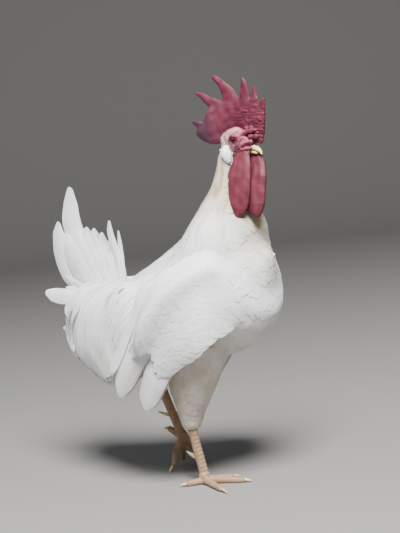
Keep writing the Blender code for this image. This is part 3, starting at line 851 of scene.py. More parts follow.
# How the coat lies: places on the left side or the middle plane, each with its heading. The
# right side mirrors them.
LIE = (
    (92, 8, 446, -1, 0.1, -0.25),
    (78, 10, 432, -0.6, 0.2, -0.9),
    (62, 0, 395, -0.35, 0, -1),
    (88, 20, 400, -0.1, 0.2, -1),
    (108, 0, 385, 0.02, 0, -1),
    (84, 32, 360, -0.12, 0.25, -1),
    (40, 0, 335, -0.65, 0, -0.8),
    (80, 58, 310, -0.15, 0.2, -1),
    (0, 30, 300, -0.93, 0.15, -0.35),
    (40, 60, 285, -0.6, 0.35, -0.75),
    (118, 0, 330, 0.12, 0, -1),
    (122, 0, 285, 0.05, 0, -1),
    (96, 55, 270, -0.2, 0.15, -1),
    (108, 0, 225, -0.35, 0, -0.95),
    (80, 55, 210, -0.45, -0.05, -0.9),
    (50, 0, 165, -0.95, 0, -0.3),
    (20, 50, 170, -0.75, -0.1, -0.6),
    (-30, 0, 152, -1, 0, 0),
    (-100, 0, 155, -1, 0, 0.25),
    (-150, 0, 190, -0.8, 0, 0.6),
    (-30, 0, 275, -1, 0, -0.1),
    (-30, 50, 265, -0.85, 0.35, -0.5),
    (-80, 10, 258, -0.85, 0.3, -0.1),
    (-90, 45, 245, -0.45, 0.45, -0.8),
    (-115, 62, 210, -0.08, 0.2, -1),
    (-105, 66, 175, 0.15, 0.12, -1),
    (-90, 66, 145, 0.25, 0.05, -1),
    (-160, 25, 235, -0.5, 0.3, -0.8),
    (85, 70, 262, -0.45, 0.2, -0.9),
    (40, 90, 225, -0.6, 0.05, -0.8),
    (0, 92, 180, -0.5, 0, -0.87),
    (-30, 88, 176, -0.56, 0, -0.83),
    (-40, 84, 160, -0.58, 0, -0.81),
    (-5, 88, 150, -0.5, 0, -0.87),
    (-15, 84, 130, -0.5, 0, -0.87),
)
# The two thighs swing apart, so each has its own.
LIE_OF_THIGHS = (
    (30, -75, 150, -0.15, -0.05, -1),
    (60, -40, 150, -0.15, 0, -1),
    (0, -40, 140, -0.1, 0, -1),
    (12, -35, 90, -0.05, 0, -1),
    (-34, 60, 176, -0.6, 0, -0.75),
    (-64, 30, 130, -0.6, 0, -0.75),
    (-84, 26, 134, -0.55, 0, -0.8),
)


def lie_of_coat(spots):
    """The heading of the coat at each place, blended from the marked ones near it."""
    lie = np.array(LIE, float)
    mirrored = lie[lie[:, 1] != 0] * (1, -1, 1, 1, -1, 1)
    marks = np.concatenate([lie, mirrored, LIE_OF_THIGHS])
    gaps = np.linalg.norm(body_mm(spots)[:, None] - marks[None, :, :3], axis=2)
    blur = 300  # in cubic mm, so that no one mark rules the places close to it
    return unit((1 / (gaps**3 + blur)) @ unit(marks[:, 3:]))


class Sheet:
    """A smooth surface over one folded wing, on which its feathers lie in rows.

    Places on it are given by t, from 0 at the shoulder to 1 towards the tip, and v, from -1 at
    the lower edge to 1 at the upper."""

    def __init__(self, form, edges, way):
        count, wide = 97, 49
        self.way = way
        t = np.linspace(0, 1, count)[:, None]
        v = np.linspace(-1, 1, wide)[None]
        table = spline(edges, count)
        share = ((v + 1) / 2)[..., None]
        plane = table[:, None, 2:4] * (1 - share) + table[:, None, 0:2] * share
        crown = table[:, 4:5]
        # How far out the coat's form and the wing's own flesh reach at each place, and how far
        # they count as reaching where there are none.
        missed = 40.0
        outer, flesh = np.full((2, count, wide), missed)
        wing = tree_of(node_mesh("wing_right" if way < 0 else "wing_left"))
        for spot, (x, z) in zip(np.ndindex(count, wide), plane.reshape(-1, 2).tolist()):
            for found, tree in ((outer, form.tree), (flesh, wing)):
                hit = tree.ray_cast(at(x, 140 * way, z), (0, -way, 0))[0]
                if hit is not None:
                    found[spot] = abs(hit[1]) / MM
        deepest = crown - 11 + 4 * smoothstep(0.5, 0.7, t) - 30 * smoothstep(0.45, 0.2, t)
        upper = np.clip(outer[:, -1:] + 1 + 7 * smoothstep(0.28, 0.42, t), deepest, crown)
        lower = np.clip(outer[:, :1] + 0.4 + 2 * smoothstep(0.35, 0.55, t), deepest, crown)
        power = 1.8 + 1.4 * smoothstep(0.22, 0.42, t)
        made = crown - (crown - np.where(v > 0, upper, lower)) * np.abs(v) ** power
        # At the shoulder it follows the form, and further down its own even curve.
        follow = smoothstep(0.3, 0.06, t)
        y = outer * follow + made * (1 - follow)
        for rounds, clear in ((10, 0.8), (16, 0.6), (5, 0.2)):
            y = np.maximum(y, np.maximum(outer + clear, flesh) * (follow < 1))
            for _ in range(rounds):
                y[1:-1] = (y[:-2] + 2 * y[1:-1] + y[2:]) / 4
                y[:, 1:-1] = (y[:, :-2] + 2 * y[:, 1:-1] + y[:, 2:]) / 4
        self.grid = np.stack([plane[..., 0], y * way, plane[..., 1]], axis=2)
        down, across = np.gradient(self.grid, axis=0), np.gradient(self.grid, axis=1)
        self.normals = unit(np.cross(down, across))
        self.normals *= np.sign(self.normals[..., 1:2]) * way
        self.run = np.linalg.norm(down, axis=2).mean(axis=1) * (count - 1)
        self.deep = np.linalg.norm(across, axis=2).sum(axis=1) / 2

    def spot(self, t, v):
        """Places in mm and facings at t and v, between the knots of the surface."""
        rows, columns = self.grid.shape[:2]
        i = np.clip(t, 0, 1) * (rows - 1.001)
        j = (np.clip(v, -1, 1) + 1) / 2 * (columns - 1.001)
        row, column = i.astype(int), j.astype(int)
        i, j = (i % 1)[..., None], (j % 1)[..., None]
        found = []
        for table in (self.grid, self.normals):
            near, far = (table[row, c] * (1 - i) + table[row + 1, c] * i for c in (column, column + 1))
            found.append(near * (1 - j) + far * j)
        return found

    def feathers(self, t, v, vane, length, width, depth, lift, turn, rng):
        """Feathers with their roots at t and v, in an array like that of lay."""
        s, u = vane.rows[:, None], vane.across[None]
        count = len(t)
        knots = np.linspace(0, 1, len(self.run))
        run, deep = (np.interp(t, knots, each) for each in (self.run, self.deep))
        each = (t, v, length, width, lift, turn, run, deep)
        t, v, length, width, lift, turn, run, deep = (value[:, None, None] for value in each)
        ragged = rng.normal(0, vane.fray, (count, 1, len(vane.across)))
        half = width / 2 * vane.widths[:, None]
        t = t + (s - vane.setback * u**2 * s**2 + ragged * s**4) * length / run
        v = v + (turn * s * length + u * half) / deep
        places, normals = self.spot(t, v)
        rise = (depth + lift) * s**0.8 - depth - 0.05 * half * u**2
        rise = rise + rng.normal(0, 0.06, (count, 1, 1)) + rng.normal(0, 0.03, (count, 1, 1)) * u * s * half
        grids = to_metres(places + normals * rise[..., None])
        return grids if self.way < 0 else grids[:, :, ::-1]


class Vane:
    """The outline of a kind of feather: where its rows lie along it, and their width shares."""

    def __init__(self, rows, widths, columns, setback, fray):
        self.rows = np.array(rows, float)
        self.widths = np.array(widths, float)
        self.across = np.linspace(-1, 1, columns)
        self.setback = setback
        self.fray = fray


DOWN = Vane((0, 0.3, 0.6, 0.85, 1), (0.6, 0.95, 1, 0.9, 0.7), 5, 0.1, 0.0)
CONTOUR = Vane((0, 0.25, 0.5, 0.7, 0.86, 1), (0.45, 0.8, 1, 1, 0.9, 0.6), 7, 0.15, 0.008)
COVERT = Vane((0, 0.3, 0.55, 0.75, 0.88, 1), (0.5, 0.85, 1, 0.98, 0.86, 0.56), 7, 0.14, 0.003)
TERTIAL_WIDTHS = (0.5, 0.75, 0.9, 1, 1, 1, 1, 0.98, 0.92, 0.84, 0.7, 0.42)
TERTIAL = Vane(np.linspace(0, 1, 12), TERTIAL_WIDTHS, 7, 0.07, 0.004)
HACKLE_WIDTHS = (0.6, 0.9, 1, 0.98, 0.9, 0.76, 0.55, 0.3, 0.06)
HACKLE = Vane((0, 0.12, 0.26, 0.4, 0.54, 0.67, 0.79, 0.9, 1), HACKLE_WIDTHS, 3, 0.02, 0.02)
LONG_WIDTHS = (0.6, 0.9, 1, 1, 0.97, 0.92, 0.86, 0.76, 0.66, 0.54, 0.4, 0.24, 0.05)
LONG_HACKLE = Vane(np.linspace(0, 1, 13), LONG_WIDTHS, 3, 0.02, 0.02)
BRISTLE = Vane((0, 0.35, 0.7, 1), (0.8, 1, 0.7, 0.1), 3, 0.05, 0.05)


def walk(form, start, length, vane, firm):
    """Where the middle of each feather runs over a form, row by row, and where it hangs free."""
    spot, heading, normal = start
    free = np.zeros((len(spot), 1), bool)
    spine = [(spot, heading, normal, free)]
    for step in np.diff(vane.rows):
        reach = (length * step)[:, None]
        ahead = spot + heading * reach
        near, near_normal = form.nearest(ahead)
        free = free | (np.linalg.norm(near - ahead, axis=1, keepdims=True) > 0.5 * reach + 0.0008)
        spot = np.where(free, ahead, near)
        normal = np.where(free, normal, unit(normal * 0.4 + near_normal * 0.6))
        wanted = np.where(free, unit(heading + np.array((0, 0, -0.6))), lie_of_coat(spot))
        drawn = unit(heading * firm + wanted * (1 - firm))
        heading = np.where(free, drawn, flattened(drawn, normal))
        spine.append((spot, heading, normal, free))
    return spine


def lay(form, roots, vane, length, width, depth, lift, rng, sway=5.0, firm=0.5, wide=True, loose=0.15):
    """Feathers laid over a form, in an array of feathers, rows, columns and x, y, z.

    Each follows the lie of the coat. Its root lies under the form's surface by depth and its tip
    stands over it by lift, so it covers the next. Sizes are in mm. One that would run off an
    edge is shortened, so that only the share loose of it hangs free."""
    count = len(roots)
    length, width, depth, lift = (np.broadcast_to(v, count) * MM for v in (length, width, depth, lift))
    spot, normal = form.nearest(roots)
    heading = flattened(lie_of_coat(spot), normal)
    turn = np.radians(rng.normal(0, sway, count))[:, None]
    heading = heading * np.cos(turn) + np.cross(normal, heading) * np.sin(turn)
    start = (spot, heading, normal)
    held = 1 - np.mean([row[3][:, 0] for row in walk(form, start, length, vane, firm)], axis=0)
    length = length * np.where(held < 1, np.clip(held + loose, 0.08, 1), 1)
    spine = walk(form, start, length, vane, firm)
    u = vane.across
    twist = rng.normal(0, 0.05, count)
    shift = rng.normal(0, 0.08, count) * MM
    ragged = rng.normal(0, vane.fray, (count, len(u)))
    rows, facing = [], []
    for (spot, heading, normal, free), s, share in zip(spine, vane.rows, vane.widths):
        side = np.cross(heading, normal)
        half = width / 2 * share
        along = (-vane.setback * u**2 * s**2 + ragged * s**4) * length[:, None]
        places = spot[:, None] + side[:, None] * (half[:, None] * u)[..., None]
        places = places + heading[:, None] * along[..., None]
        height = -depth + (depth + lift) * s**0.8
        tall = height[:, None] + twist[:, None] * u * half[:, None] * s - 0.06 * half[:, None] * u**2
        tall = tall + shift[:, None]
        normals = np.repeat(normal[:, None], len(u), axis=1)
        if wide:
            near, near_normals = form.nearest(places.reshape(-1, 3))
            near, near_normals = near.reshape(places.shape), near_normals.reshape(places.shape)
            far = np.linalg.norm(near - places, axis=2, keepdims=True) > 0.004
            off = far | free[:, None]
            places = np.where(off, places, near)
            normals = np.where(off, normals, unit(normals + near_normals))
        rows.append(places + normals * tall[..., None])
        facing.append(normals)
    return np.stack(rows, axis=1), np.stack(facing, axis=1)


def plume(path, half_widths, face, rows=24, columns=9, camber=0.14, fray=0.012, seed=0):
    """One large feather on a path in mm, its flat side towards face, with its shaft apart."""
    rng = np.random.default_rng(seed)
    line = spline(path, rows)
    widths = resampled(half_widths, rows)[:, None]
    along = unit(np.gradient(line, axis=0))
    side = unit(np.cross(along, np.array(face, float)))
    normal = np.cross(side, along)
    u = np.linspace(-1, 1, columns)
    s = np.linspace(0, 1, rows)[:, None]

    def offset(reach, height):
        return line[:, None] + side[:, None] * reach[..., None] + normal[:, None] * height[..., None]

    notch = 1 + fray * rng.normal(0, 1, (rows, columns)) * (np.abs(u) > 0.8)
    back = -0.2 * u**2 * s**3 * widths.max()
    grid = offset(widths * u * notch, -camber * u**2 * widths) + along[:, None] * back[..., None]
    # The shaft thins out towards the tip and ends before it.
    thick = 1.1 - 0.85 * s
    v = np.linspace(-1, 1, 3)
    shafts = [offset(v * thick, (1 - v**2) * thick * 0.8 * way - 0.05 * way) for way in (1, -1)]
    return to_metres(grid), [to_metres(strip[: int(rows * 0.93)]) for strip in shafts]


class Coat:
    """Feathers gathered into one piece, with the maps and the tint that their finish reads."""

    def __init__(self):
        self.kept = {key: [] for key in ("points", "quads", "Vane", "OFBake", "tint", "facing")}
        self.count = 0

    def add(self, grids, tint=None, stained=0.0, facing=None, even=0.75):
        """Adds an array of feathers, rows, columns and x, y, z, without those that are creased.

        facing holds the directions of the form under each point. It evens out the shading by
        this share, so that a coat looks like one soft surface and only its edges show."""
        own = unit(np.cross(np.gradient(grids, axis=2), np.gradient(grids, axis=1)))
        if facing is not None:
            # One is creased where it turns by over 45 degrees, or widens out of its usual steps.
            good = (facing[:, 1:] * facing[:, :-1]).sum(axis=3).min(axis=(1, 2)) > 0.7
            gaps = np.linalg.norm(np.diff(grids, axis=2), axis=3)
            steps = np.linalg.norm(np.diff(grids, axis=1), axis=3)
            for sizes in (gaps, steps / steps.mean(axis=(0, 2), keepdims=True)):
                good &= sizes.max(axis=(1, 2)) < 2.6 * np.median(sizes, axis=(1, 2))
            grids, facing, own = grids[good], facing[good], own[good]
            tint = tint if tint is None else tint[good]
            own = unit(facing * even + own * (1 - even))
        feathers, rows, columns = grids.shape[:3]
        across, along = np.meshgrid(np.linspace(0, 1, columns), np.linspace(0, 1, rows))
        vane = np.broadcast_to(np.stack([across, along], axis=2), (feathers, rows, columns, 2))
        roots = bake_places(grids[:, 0].mean(axis=1))
        shade = stain_and_shade(body_mm(grids.reshape(-1, 3))).reshape(feathers, rows, columns) + stained
        if tint is not None:
            shade = shade + tint[:, None, None]
        firsts = self.count + rows * columns * np.arange(feathers)[:, None, None]
        made = {
            "points": (grids, 3),
            "quads": (grid_quads(rows, columns, False) + firsts, 4),
            "Vane": (vane, 2),
            "OFBake": (roots[:, None, None] + (vane - 0.5) * BAKE_PATCH, 2),
            "tint": (np.clip(shade, 0, 1), 1),
            "facing": (own, 3),
        }
        for key, (values, wide) in made.items():
            self.kept[key].append(values.reshape(-1, wide))
        self.count += feathers * rows * columns

    def finish(self, name, material):
        kept = {key: np.concatenate(values) for key, values in self.kept.items()}
        mesh = quad_mesh(name, kept["points"], kept["quads"])
        for label in ("Vane", "OFBake"):
            layer = mesh.uv_layers.new(name=label)
            flat = kept[label][kept["quads"].ravel()]
            layer.data.foreach_set("uv", flat.astype(np.float32).ravel())
        mesh.uv_layers["Vane"].active_render = True
        attribute(mesh, "tint", kept["tint"])
        mesh.normals_split_custom_set_from_vertices(kept["facing"].tolist())
        mesh.materials.append(material)
        return place(name, mesh)


def bump_at(spots, middle, radii):
    """1 at a place and less away from it, with these distances along x, y and z."""
    return np.exp(-(((spots - np.array(middle)) / np.array(radii)) ** 2).sum(axis=1))


def stain_and_shade(spots):
    """The share of cream in the white at places in body mm: most under the wattles and below. It is partly
    the feathers' own staining and partly painted shade, deepening on the throat under the head and on the
    belly.
    """
    x, y, z = spots.T
    throat = bump_at(spots, (112, 0, 352), (34, 36, 42))
    breast = bump_at(spots, (120, 0, 300), (40, 34, 36))
    belly = smoothstep(225, 130, z) * smoothstep(-110, -20, x) * smoothstep(88, 66, np.abs(y))
    streaks = smoothstep(0.1, 0.6, waves(spots * (1, 1, 0.15), 9, 42))
    nape = smoothstep(315, 380, z) * smoothstep(-30, 20, x) * (0.35 + 0.4 * streaks)
    return 0.9 * throat + 0.35 * breast + 0.5 * belly + nape + 0.05 * waves(spots, 30, 41)


def unwrap():
    """An unwrap of the skin's own shape, to give each feather its place on the baked map."""
    names = ["trunk", "neck", "head", *pairs("thigh", "wing")]
    made = voxelled("unwrap", [node_mesh(name) for name in names], 5.0)
    bpy.context.view_layer.objects.active = made
    made.select_set(True)
    bpy.ops.object.mode_set(mode="EDIT")
    bpy.ops.mesh.select_all(action="SELECT")
    bpy.ops.uv.smart_project(angle_limit=math.radians(66), island_margin=0.004)
    bpy.ops.object.mode_set(mode="OBJECT")
    mesh = made.data
    form = Form(mesh)
    form.uvs = read(mesh.uv_layers[0].data, "uv", 2)[read(mesh.loop_triangles, "loops", 3, np.int32)]
    bpy.data.objects.remove(made)
    return form


def bake_places(roots):
    """Where each root lies on the unwrap."""
    form = WORK["unwrap"]
    found = []
    for spot in roots.tolist():
        near, _, face, _ = form.tree.find_nearest(spot)
        a, b, c = (Vector(form.points[k]) for k in form.faces[face])
        whole = (b - a).cross(c - a)
        size = max(whole.dot(whole), 1e-18)
        share_b = (near - a).cross(c - a).dot(whole) / size
        share_c = (b - a).cross(near - a).dot(whole) / size
        found.append((1 - share_b - share_c, share_b, share_c) @ form.uvs[face])
    return np.array(found)


def make_forms():
    """The form that the coat is laid on, and which part of the bird each place belongs to."""
    voxel_mm = 3.0
    # A full breast fills the crease between the neck and the trunk, and full flanks let the
    # saddle run evenly in under the wing.
    filled = [ball("crop", at(80, 0, 310), (42, 49, 48), Matrix.Identity(3))]
    for way in (1, -1):
        filled.append(ball("flank", at(-50, 57 * way, 200), (46, 20, 60), Matrix.Identity(3)))
    bare = [node_mesh(name) for name in ("trunk", "neck", "head", *pairs("thigh", "saddle"))]
    made = voxelled("coat_form", filled + bare, voxel_mm)
    relaxed(made.data, 4)
    # Swollen, fused again and drawn back in, the form bridges the creases between its parts.
    for _ in range(3):
        swollen(made.data, 3.0)
    made = remeshed(made, voxel_mm)
    relaxed(made.data, 8)
    for _ in range(3):
        swollen(made.data, -3.0)
        relaxed(made.data, 2)
    # The coat runs evenly over the tops of the thighs, the wings and the breast.
    x, _, z = body_mm(points_of(made.data)).T
    even = smoothstep(-100, -60, x) * smoothstep(118, 140, z) * smoothstep(372, 350, z)
    relaxed(made.data, 90, where=even)
    WORK["coat"] = Form(made.data)
    bpy.data.objects.remove(made)
    names = ["trunk", "neck", "head", *pairs("thigh", "wing", "saddle")]
    WORK["parts"] = {name: tree_of(node_mesh(name)) for name in names}
    WORK["unwrap"] = unwrap()


def part_of(spots):
    """For each place, the name of the nearest part of the bird without its side."""
    names = np.array([name.split("_")[0] for name in WORK["parts"]])
    trees = WORK["parts"].values()
    gaps = [[tree.find_nearest(spot)[3] for tree in trees] for spot in spots.tolist()]
    return names[np.array(gaps).argmin(axis=1)]


# ------------------------------------------------------------------ plumage


def size_share(spots):
    """How large a body feather is at each place, as a share of those on the breast."""
    x, y, z = spots.T
    share = 1 - 0.55 * smoothstep(330, 400, z)
    right = np.exp(-(((y + 36) / 40) ** 2)) * smoothstep(225, 150, z) * smoothstep(-45, -25, x)
    left = np.exp(-(((y - 28) / 30) ** 2)) * smoothstep(225, 155, z) * (x < -10) * (x > -100)
    return share * (1 - 0.5 * np.clip(right + left, 0, 1))


def under_hackles(spots):
    """Whether places lie on the sides and back of the neck, where hackles grow."""
    x, y, z = body_mm(spots).T
    return x < 108 - 0.2 * (z - 320) - 0.0035 * y**2


def build_down(finish):
    """Wide soft feathers close under the coat, so that white lies beneath every gap in it."""
    form = WORK["coat"]
    rng = np.random.default_rng(10)

    def share_of(spots):
        spots = body_mm(spots)
        return np.sqrt(size_share(spots)) * (1 - 0.45 * smoothstep(395, 430, spots[:, 2]))

    def within(spots):
        return (bare_edge(head_mm(spots)) > 9) & (body_mm(spots)[:, 2] < 440)

    roots = form.scattered(rng, lambda spots: 9.5 * share_of(spots), within)
    share = share_of(roots)
    sizes_mm = {"length": 28 * share, "width": 26 * share, "depth": 2.6, "lift": -1.0}
    grids, facing = lay(form, roots, DOWN, rng=rng, sway=12, loose=-0.1, **sizes_mm)
    coat = Coat()
    coat.add(grids, None, -0.02, facing)
    return coat.finish("down", finish)


def build_body_feathers(sizes, finish):
    """Rounded feathers over breast, belly, back and thighs, like tiles laid from the tail up."""
    form = WORK["coat"]
    rng = np.random.default_rng(11)
    feather = in_mm(sizes.body_feather)

    def within(spots):
        z = body_mm(spots)[:, 2]
        return (bare_edge(head_mm(spots)) > 6) & (z < 400) & ~(under_hackles(spots) & (z > 312))

    roots = form.scattered(rng, lambda spots: feather * 0.24 * size_share(body_mm(spots)), within)
    roots = roots[np.isin(part_of(roots), ("trunk", "neck", "thigh"))]
    spots = body_mm(roots)
    plain_share = size_share(spots)
    share = plain_share * rng.normal(1, 0.07, len(roots))
    vent = smoothstep(-60, -130, spots[:, 0]) * smoothstep(235, 190, spots[:, 2])
    sizes_mm = {
        "length": feather * share * (1.1 - 0.2 * vent),
        "width": feather * share * 0.78,
        "depth": 0.9 + 0.2 * share,
        "lift": (0.05 + 0.25 * share + 0.7 * smoothstep(0.9, 0.6, plain_share)) * rng.random(len(roots)),
    }
    grids, facing = lay(form, roots, CONTOUR, rng=rng, **sizes_mm)
    below = spots[:, 2] < 232
    made = []
    for label, chosen in (("upper", ~below), ("lower", below)):
        coat = Coat()
        coat.add(grids[chosen], rng.normal(0, 0.04, chosen.sum()), facing=facing[chosen])
        made.append(coat.finish("body_feathers_" + label, finish))
    return made


def build_neck_hackles(sizes, finish):
    """Long narrow hackles that fall from the head over the neck and shoulders."""
    form = WORK["coat"]
    rng = np.random.default_rng(12)

    def within(spots):
        z = body_mm(spots)[:, 2]
        return (bare_edge(head_mm(spots)) > 0.5) & (z > 300) & (under_hackles(spots) | (z > 400))

    def spacing(spots):
        return 1.9 + 1.7 * smoothstep(420, 340, body_mm(spots)[:, 2])

    roots = form.scattered(rng, spacing, within)
    x, _, z = body_mm(roots).T
    fall = smoothstep(436, 345, z)
    length = 9 + (in_mm(sizes.neck_hackle) - 9) * fall**1.1
    length *= (0.66 + 0.34 * smoothstep(110, 50, x)) * (1 - 0.3 * smoothstep(340, 300, z))
    length *= rng.normal(1, 0.08, len(roots))
    sizes_mm = {"length": length, "width": 3.0 + 2.3 * fall, "depth": 1.0 + 0.8 * fall}
    sizes_mm["lift"] = 0.2 + 0.7 * rng.random(len(roots)) * fall
    grids, facing = lay(form, roots, HACKLE, rng=rng, sway=2.5, firm=0.35, wide=False, **sizes_mm)
    coat = Coat()
    streak = np.where(rng.random(len(roots)) < 0.22, rng.random(len(roots)) * 0.4, 0)
    coat.add(grids, streak * smoothstep(300, 360, z), facing=facing)
    return coat.finish("neck_hackles", finish)


def build_saddle_hackles(sizes, finish):
    """Long hackles of the saddle that hang in threads over the flanks."""
    form = WORK["coat"]
    rng = np.random.default_rng(13)
    coat = Coat()

    def within(spots):
        x, _, z = body_mm(spots).T
        return (x < 8) & (x > -172) & (z > 196 + 0.12 * (x + 100)) & (z > 225 + 0.55 * (x + 40))

    def hem(spots):
        x, y, z = body_mm(spots).T
        return (x < -48) & (z <= 215) & (np.abs(y) > 42)

    on_body = ("trunk", "neck", "head", "thigh", "saddle")
    for where, parts, gap, reach in ((within, on_body, 3.3, 1.0), (hem, ("saddle",), 3.4, 0.45)):
        roots = form.scattered(rng, lambda spots: gap, where)
        roots = roots[np.isin(part_of(roots), parts)]
        count = len(roots)
        down = 0.62 + 0.38 * smoothstep(268, 225, body_mm(roots)[:, 2])
        sizes_mm = {
            "length": in_mm(sizes.saddle_hackle) * reach * down * rng.normal(1, 0.1, count),
            "width": 3.8 + 1.3 * rng.random(count),
            "depth": 1.6,
            "lift": 0.2 + 1.2 * rng.random(count) ** 2,
        }
        ways = {"sway": 3.5, "firm": 0.3, "wide": False, "loose": 0.08}
        grids, facing = lay(form, roots, LONG_HACKLE, rng=rng, **ways, **sizes_mm)
        # Those whose tips would stick out from the hem are left out.
        tips = grids[:, -1, 1]
        held = np.linalg.norm(tips - form.nearest(tips)[0], axis=1) < 9 * MM
        tint = np.where(rng.random(held.sum()) < 0.2, 0.18, 0.0)
        coat.add(grids[held], tint, facing=facing[held], even=0.65)
    # A bank of long hackles along the upper edge of each wing, with a thin gap between.
    edge = spline([row[:2] for row in WING_EDGES[2:]], 60)
    for way, k, part in np.ndindex(2, 6, 4):
        way = 2 * way - 1
        reach = np.linspace(0.26, 0.62, 7) + 0.12 * part + 0.02 * (k % 3)
        x, z = (np.interp(reach, np.linspace(0, 1, 60), column) for column in edge.T)
        out = 4.2 + 4.2 * k
        y = np.interp(reach, (0.26, 0.42, 1), (74, 84.5, 84.5)) + np.linspace(-0.8, 0.8, 7)
        y -= 2.0 * k + 0.4 * k**2
        path = np.stack([x - 0.85 * out, y * way, z + 0.52 * out], axis=1)
        grid, _ = plume(path, (2, 3.4, 4, 4, 3.6, 2.4, 0.4), (-0.4, way, 0.25), 16, 5, 0.1, 0.01, k)
        coat.add(grid[None] if way > 0 else grid[None, :, ::-1], None, 0.02)
    return coat.finish("saddle_hackles", finish)


# Rows of long wing feathers: each row's middle line, its half thickness and its half depth, in
# body mm on the left side. The row above hides the first points of the next.
WING_ROWS = {
    "secondaries": (
        (12, 77, 222, 6, 16),
        (-2, 79, 203, 8, 18),
        (-27, 79, 175, 8, 17.5),
        (-51, 77, 144, 6, 15.5),
        (-67, 74, 117, 4, 12.5),
    ),
    "primaries": (
        (30, 74, 194, 5, 14),
        (20, 78, 177, 7, 18),
        (0, 80, 148, 7, 18),
        (-17, 78, 121, 5, 15),
        (-27, 76, 101, 3, 11.5),
    ),
}
# The edges of each wing: x and z of the upper, x and z of the lower, and y of the crown.
WING_EDGES = (
    (103, 292, 114, 238, 57),
    (80, 299, 107, 210, 74),
    (45, 291, 93, 190, 89),
    (9, 265, 69, 171, 95),
    (-17, 220, 40, 157, 94),
    (-44, 176, 11, 136, 89.5),
    (-66, 143, -8, 106, 85),
)
QUILL_SHARES = (0.7, 0.88, 0.96, 1, 1, 1, 1, 0.98, 0.9, 0.55)


def row_of_quills(coat, label, way, rng, face, tuck):
    """Long feathers side by side over a flattened form, each lying partly over the next, that
    run together into one round tip."""
    rows, columns, number, widest = 26, 9, 5, 11.0
    s = np.linspace(0, 1, rows)
    u = np.linspace(-1, 1, columns)
    path = spline(np.array(WING_ROWS[label]) * (1, way, 1, 1, 1), rows)
    along = unit(np.gradient(path[:, :3], axis=0))
    upward = unit(np.cross(along, (0, way, 0)))
    upward = upward * np.sign(upward[:, 2:3])
    side = unit(np.cross(upward, along))
    side = side * np.sign(side[:, 1:2]) * way
    path[:, :3] += upward * tuck
    half = widest * resampled(QUILL_SHARES, rows)[:, None]
    drawn = np.sqrt(np.clip((1 - s) / 0.14, 0.12, 1))[:, None]
    for k in range(number):
        offset = np.interp(k, (0, number - 1), (-1, 1))
        reach = s * (1 - 0.05 * offset**2 - 0.025 * rng.random())
        found = np.stack([np.interp(reach, s, column) for column in path.T], axis=1)
        line, thick, deep = found[:, :3], found[:, 3:4], found[:, 4:5] * (1 - 0.02 * tuck)
        lateral = offset * np.maximum(deep - half, 0) * drawn + u * half
        round_off = np.sqrt(np.clip(1 - (lateral / (deep + 2)) ** 2, 0.02, 1))
        height = 0.2 * (k - number / 2) - 0.15 * u
        grid = line[:, None] + upward[:, None] * lateral[..., None]
        grid = grid + side[:, None] * ((thick * round_off + height) * face)[..., None]
        grid = grid - along[:, None] * (4.5 * u**2 * s[:, None] ** 8)[..., None]
        grid = grid if face * way == 1 else grid[:, ::-1]
        coat.add(to_metres(grid)[None], rng.normal(0, 0.03, 1), 0.02)


def build_flight(label, finish):
    """The long stiff flight feathers of both folded wings."""
    rng = np.random.default_rng(14)
    coat = Coat()
    for way in SIDES.values():
        # The far wing's primaries are folded in behind the thigh.
        tuck = 9.0 if label == "primaries" and way > 0 else 0.0
        for face in (1, -1):
            row_of_quills(coat, label, way, rng, face, tuck)
    return coat.finish("wing_" + label, finish)


# Tertials, the long feathers along the wing's upper edge: places t and v of the root on the
# wing's sheet, length and lift.
TERTIALS = (
    (0.34, 0.84, 80, 0.9),
    (0.39, 0.85, 84, 1.2),
    (0.44, 0.86, 88, 1.5),
    (0.37, 0.66, 76, 0.8),
    (0.43, 0.68, 80, 1.0),
)


def build_wing_coverts(sizes, finish):
    """Coverts in rows over each wing, and the long tertials whose edge lies over the saddle."""
    rng = np.random.default_rng(15)
    coat = Coat()
    for way in SIDES.values():
        # The far wing's lower edge lies higher, off the lifted thigh.
        sheet = Sheet(WORK["coat"], np.array(WING_EDGES) + (0, 0, 0, 6 + 6 * way, 0), way)
        t, v = [], []
        for row, start in enumerate(np.arange(0.015, 0.95, 0.03)):
            places = np.arange(-0.86, 0.87, 0.135) + 0.0675 * (row % 2)
            v.append(places + rng.normal(0, 0.015, len(places)))
            t.append(start + rng.normal(0, 0.006, len(places)))
        t, v = np.concatenate(t), np.clip(np.concatenate(v), -0.84, 0.84)
        length = in_mm(sizes.body_feather) * (1.0 + 0.35 * smoothstep(0.1, 0.6, t))
        length *= rng.normal(1, 0.04, len(t))
        # The last coverts reach down over the two groups of flight feathers, and less between.
        end = 0.83 - 0.08 * np.exp(-(((v + 0.05) / 0.3) ** 2)) + 0.012 * rng.random(len(t))
        kept = t + length / sheet.run.mean() < end
        t, v, length = t[kept], v[kept], length[kept]
        lift = 0.15 + 0.2 * rng.random(len(t))
        turn = rng.normal(0, 0.03, len(t))
        grids = sheet.feathers(t, v, COVERT, length, length * 0.6, 0.9, lift, turn, rng)
        coat.add(grids, rng.normal(0, 0.02, len(t)), 0.0)
        t, v, length, lift = np.array(TERTIALS).T
        grids = sheet.feathers(t, v, TERTIAL, length, np.full(5, 17.0), 1.5, lift, np.zeros(5), rng)
        coat.add(grids, None, 0.01)
    return coat.finish("wing_coverts", finish)


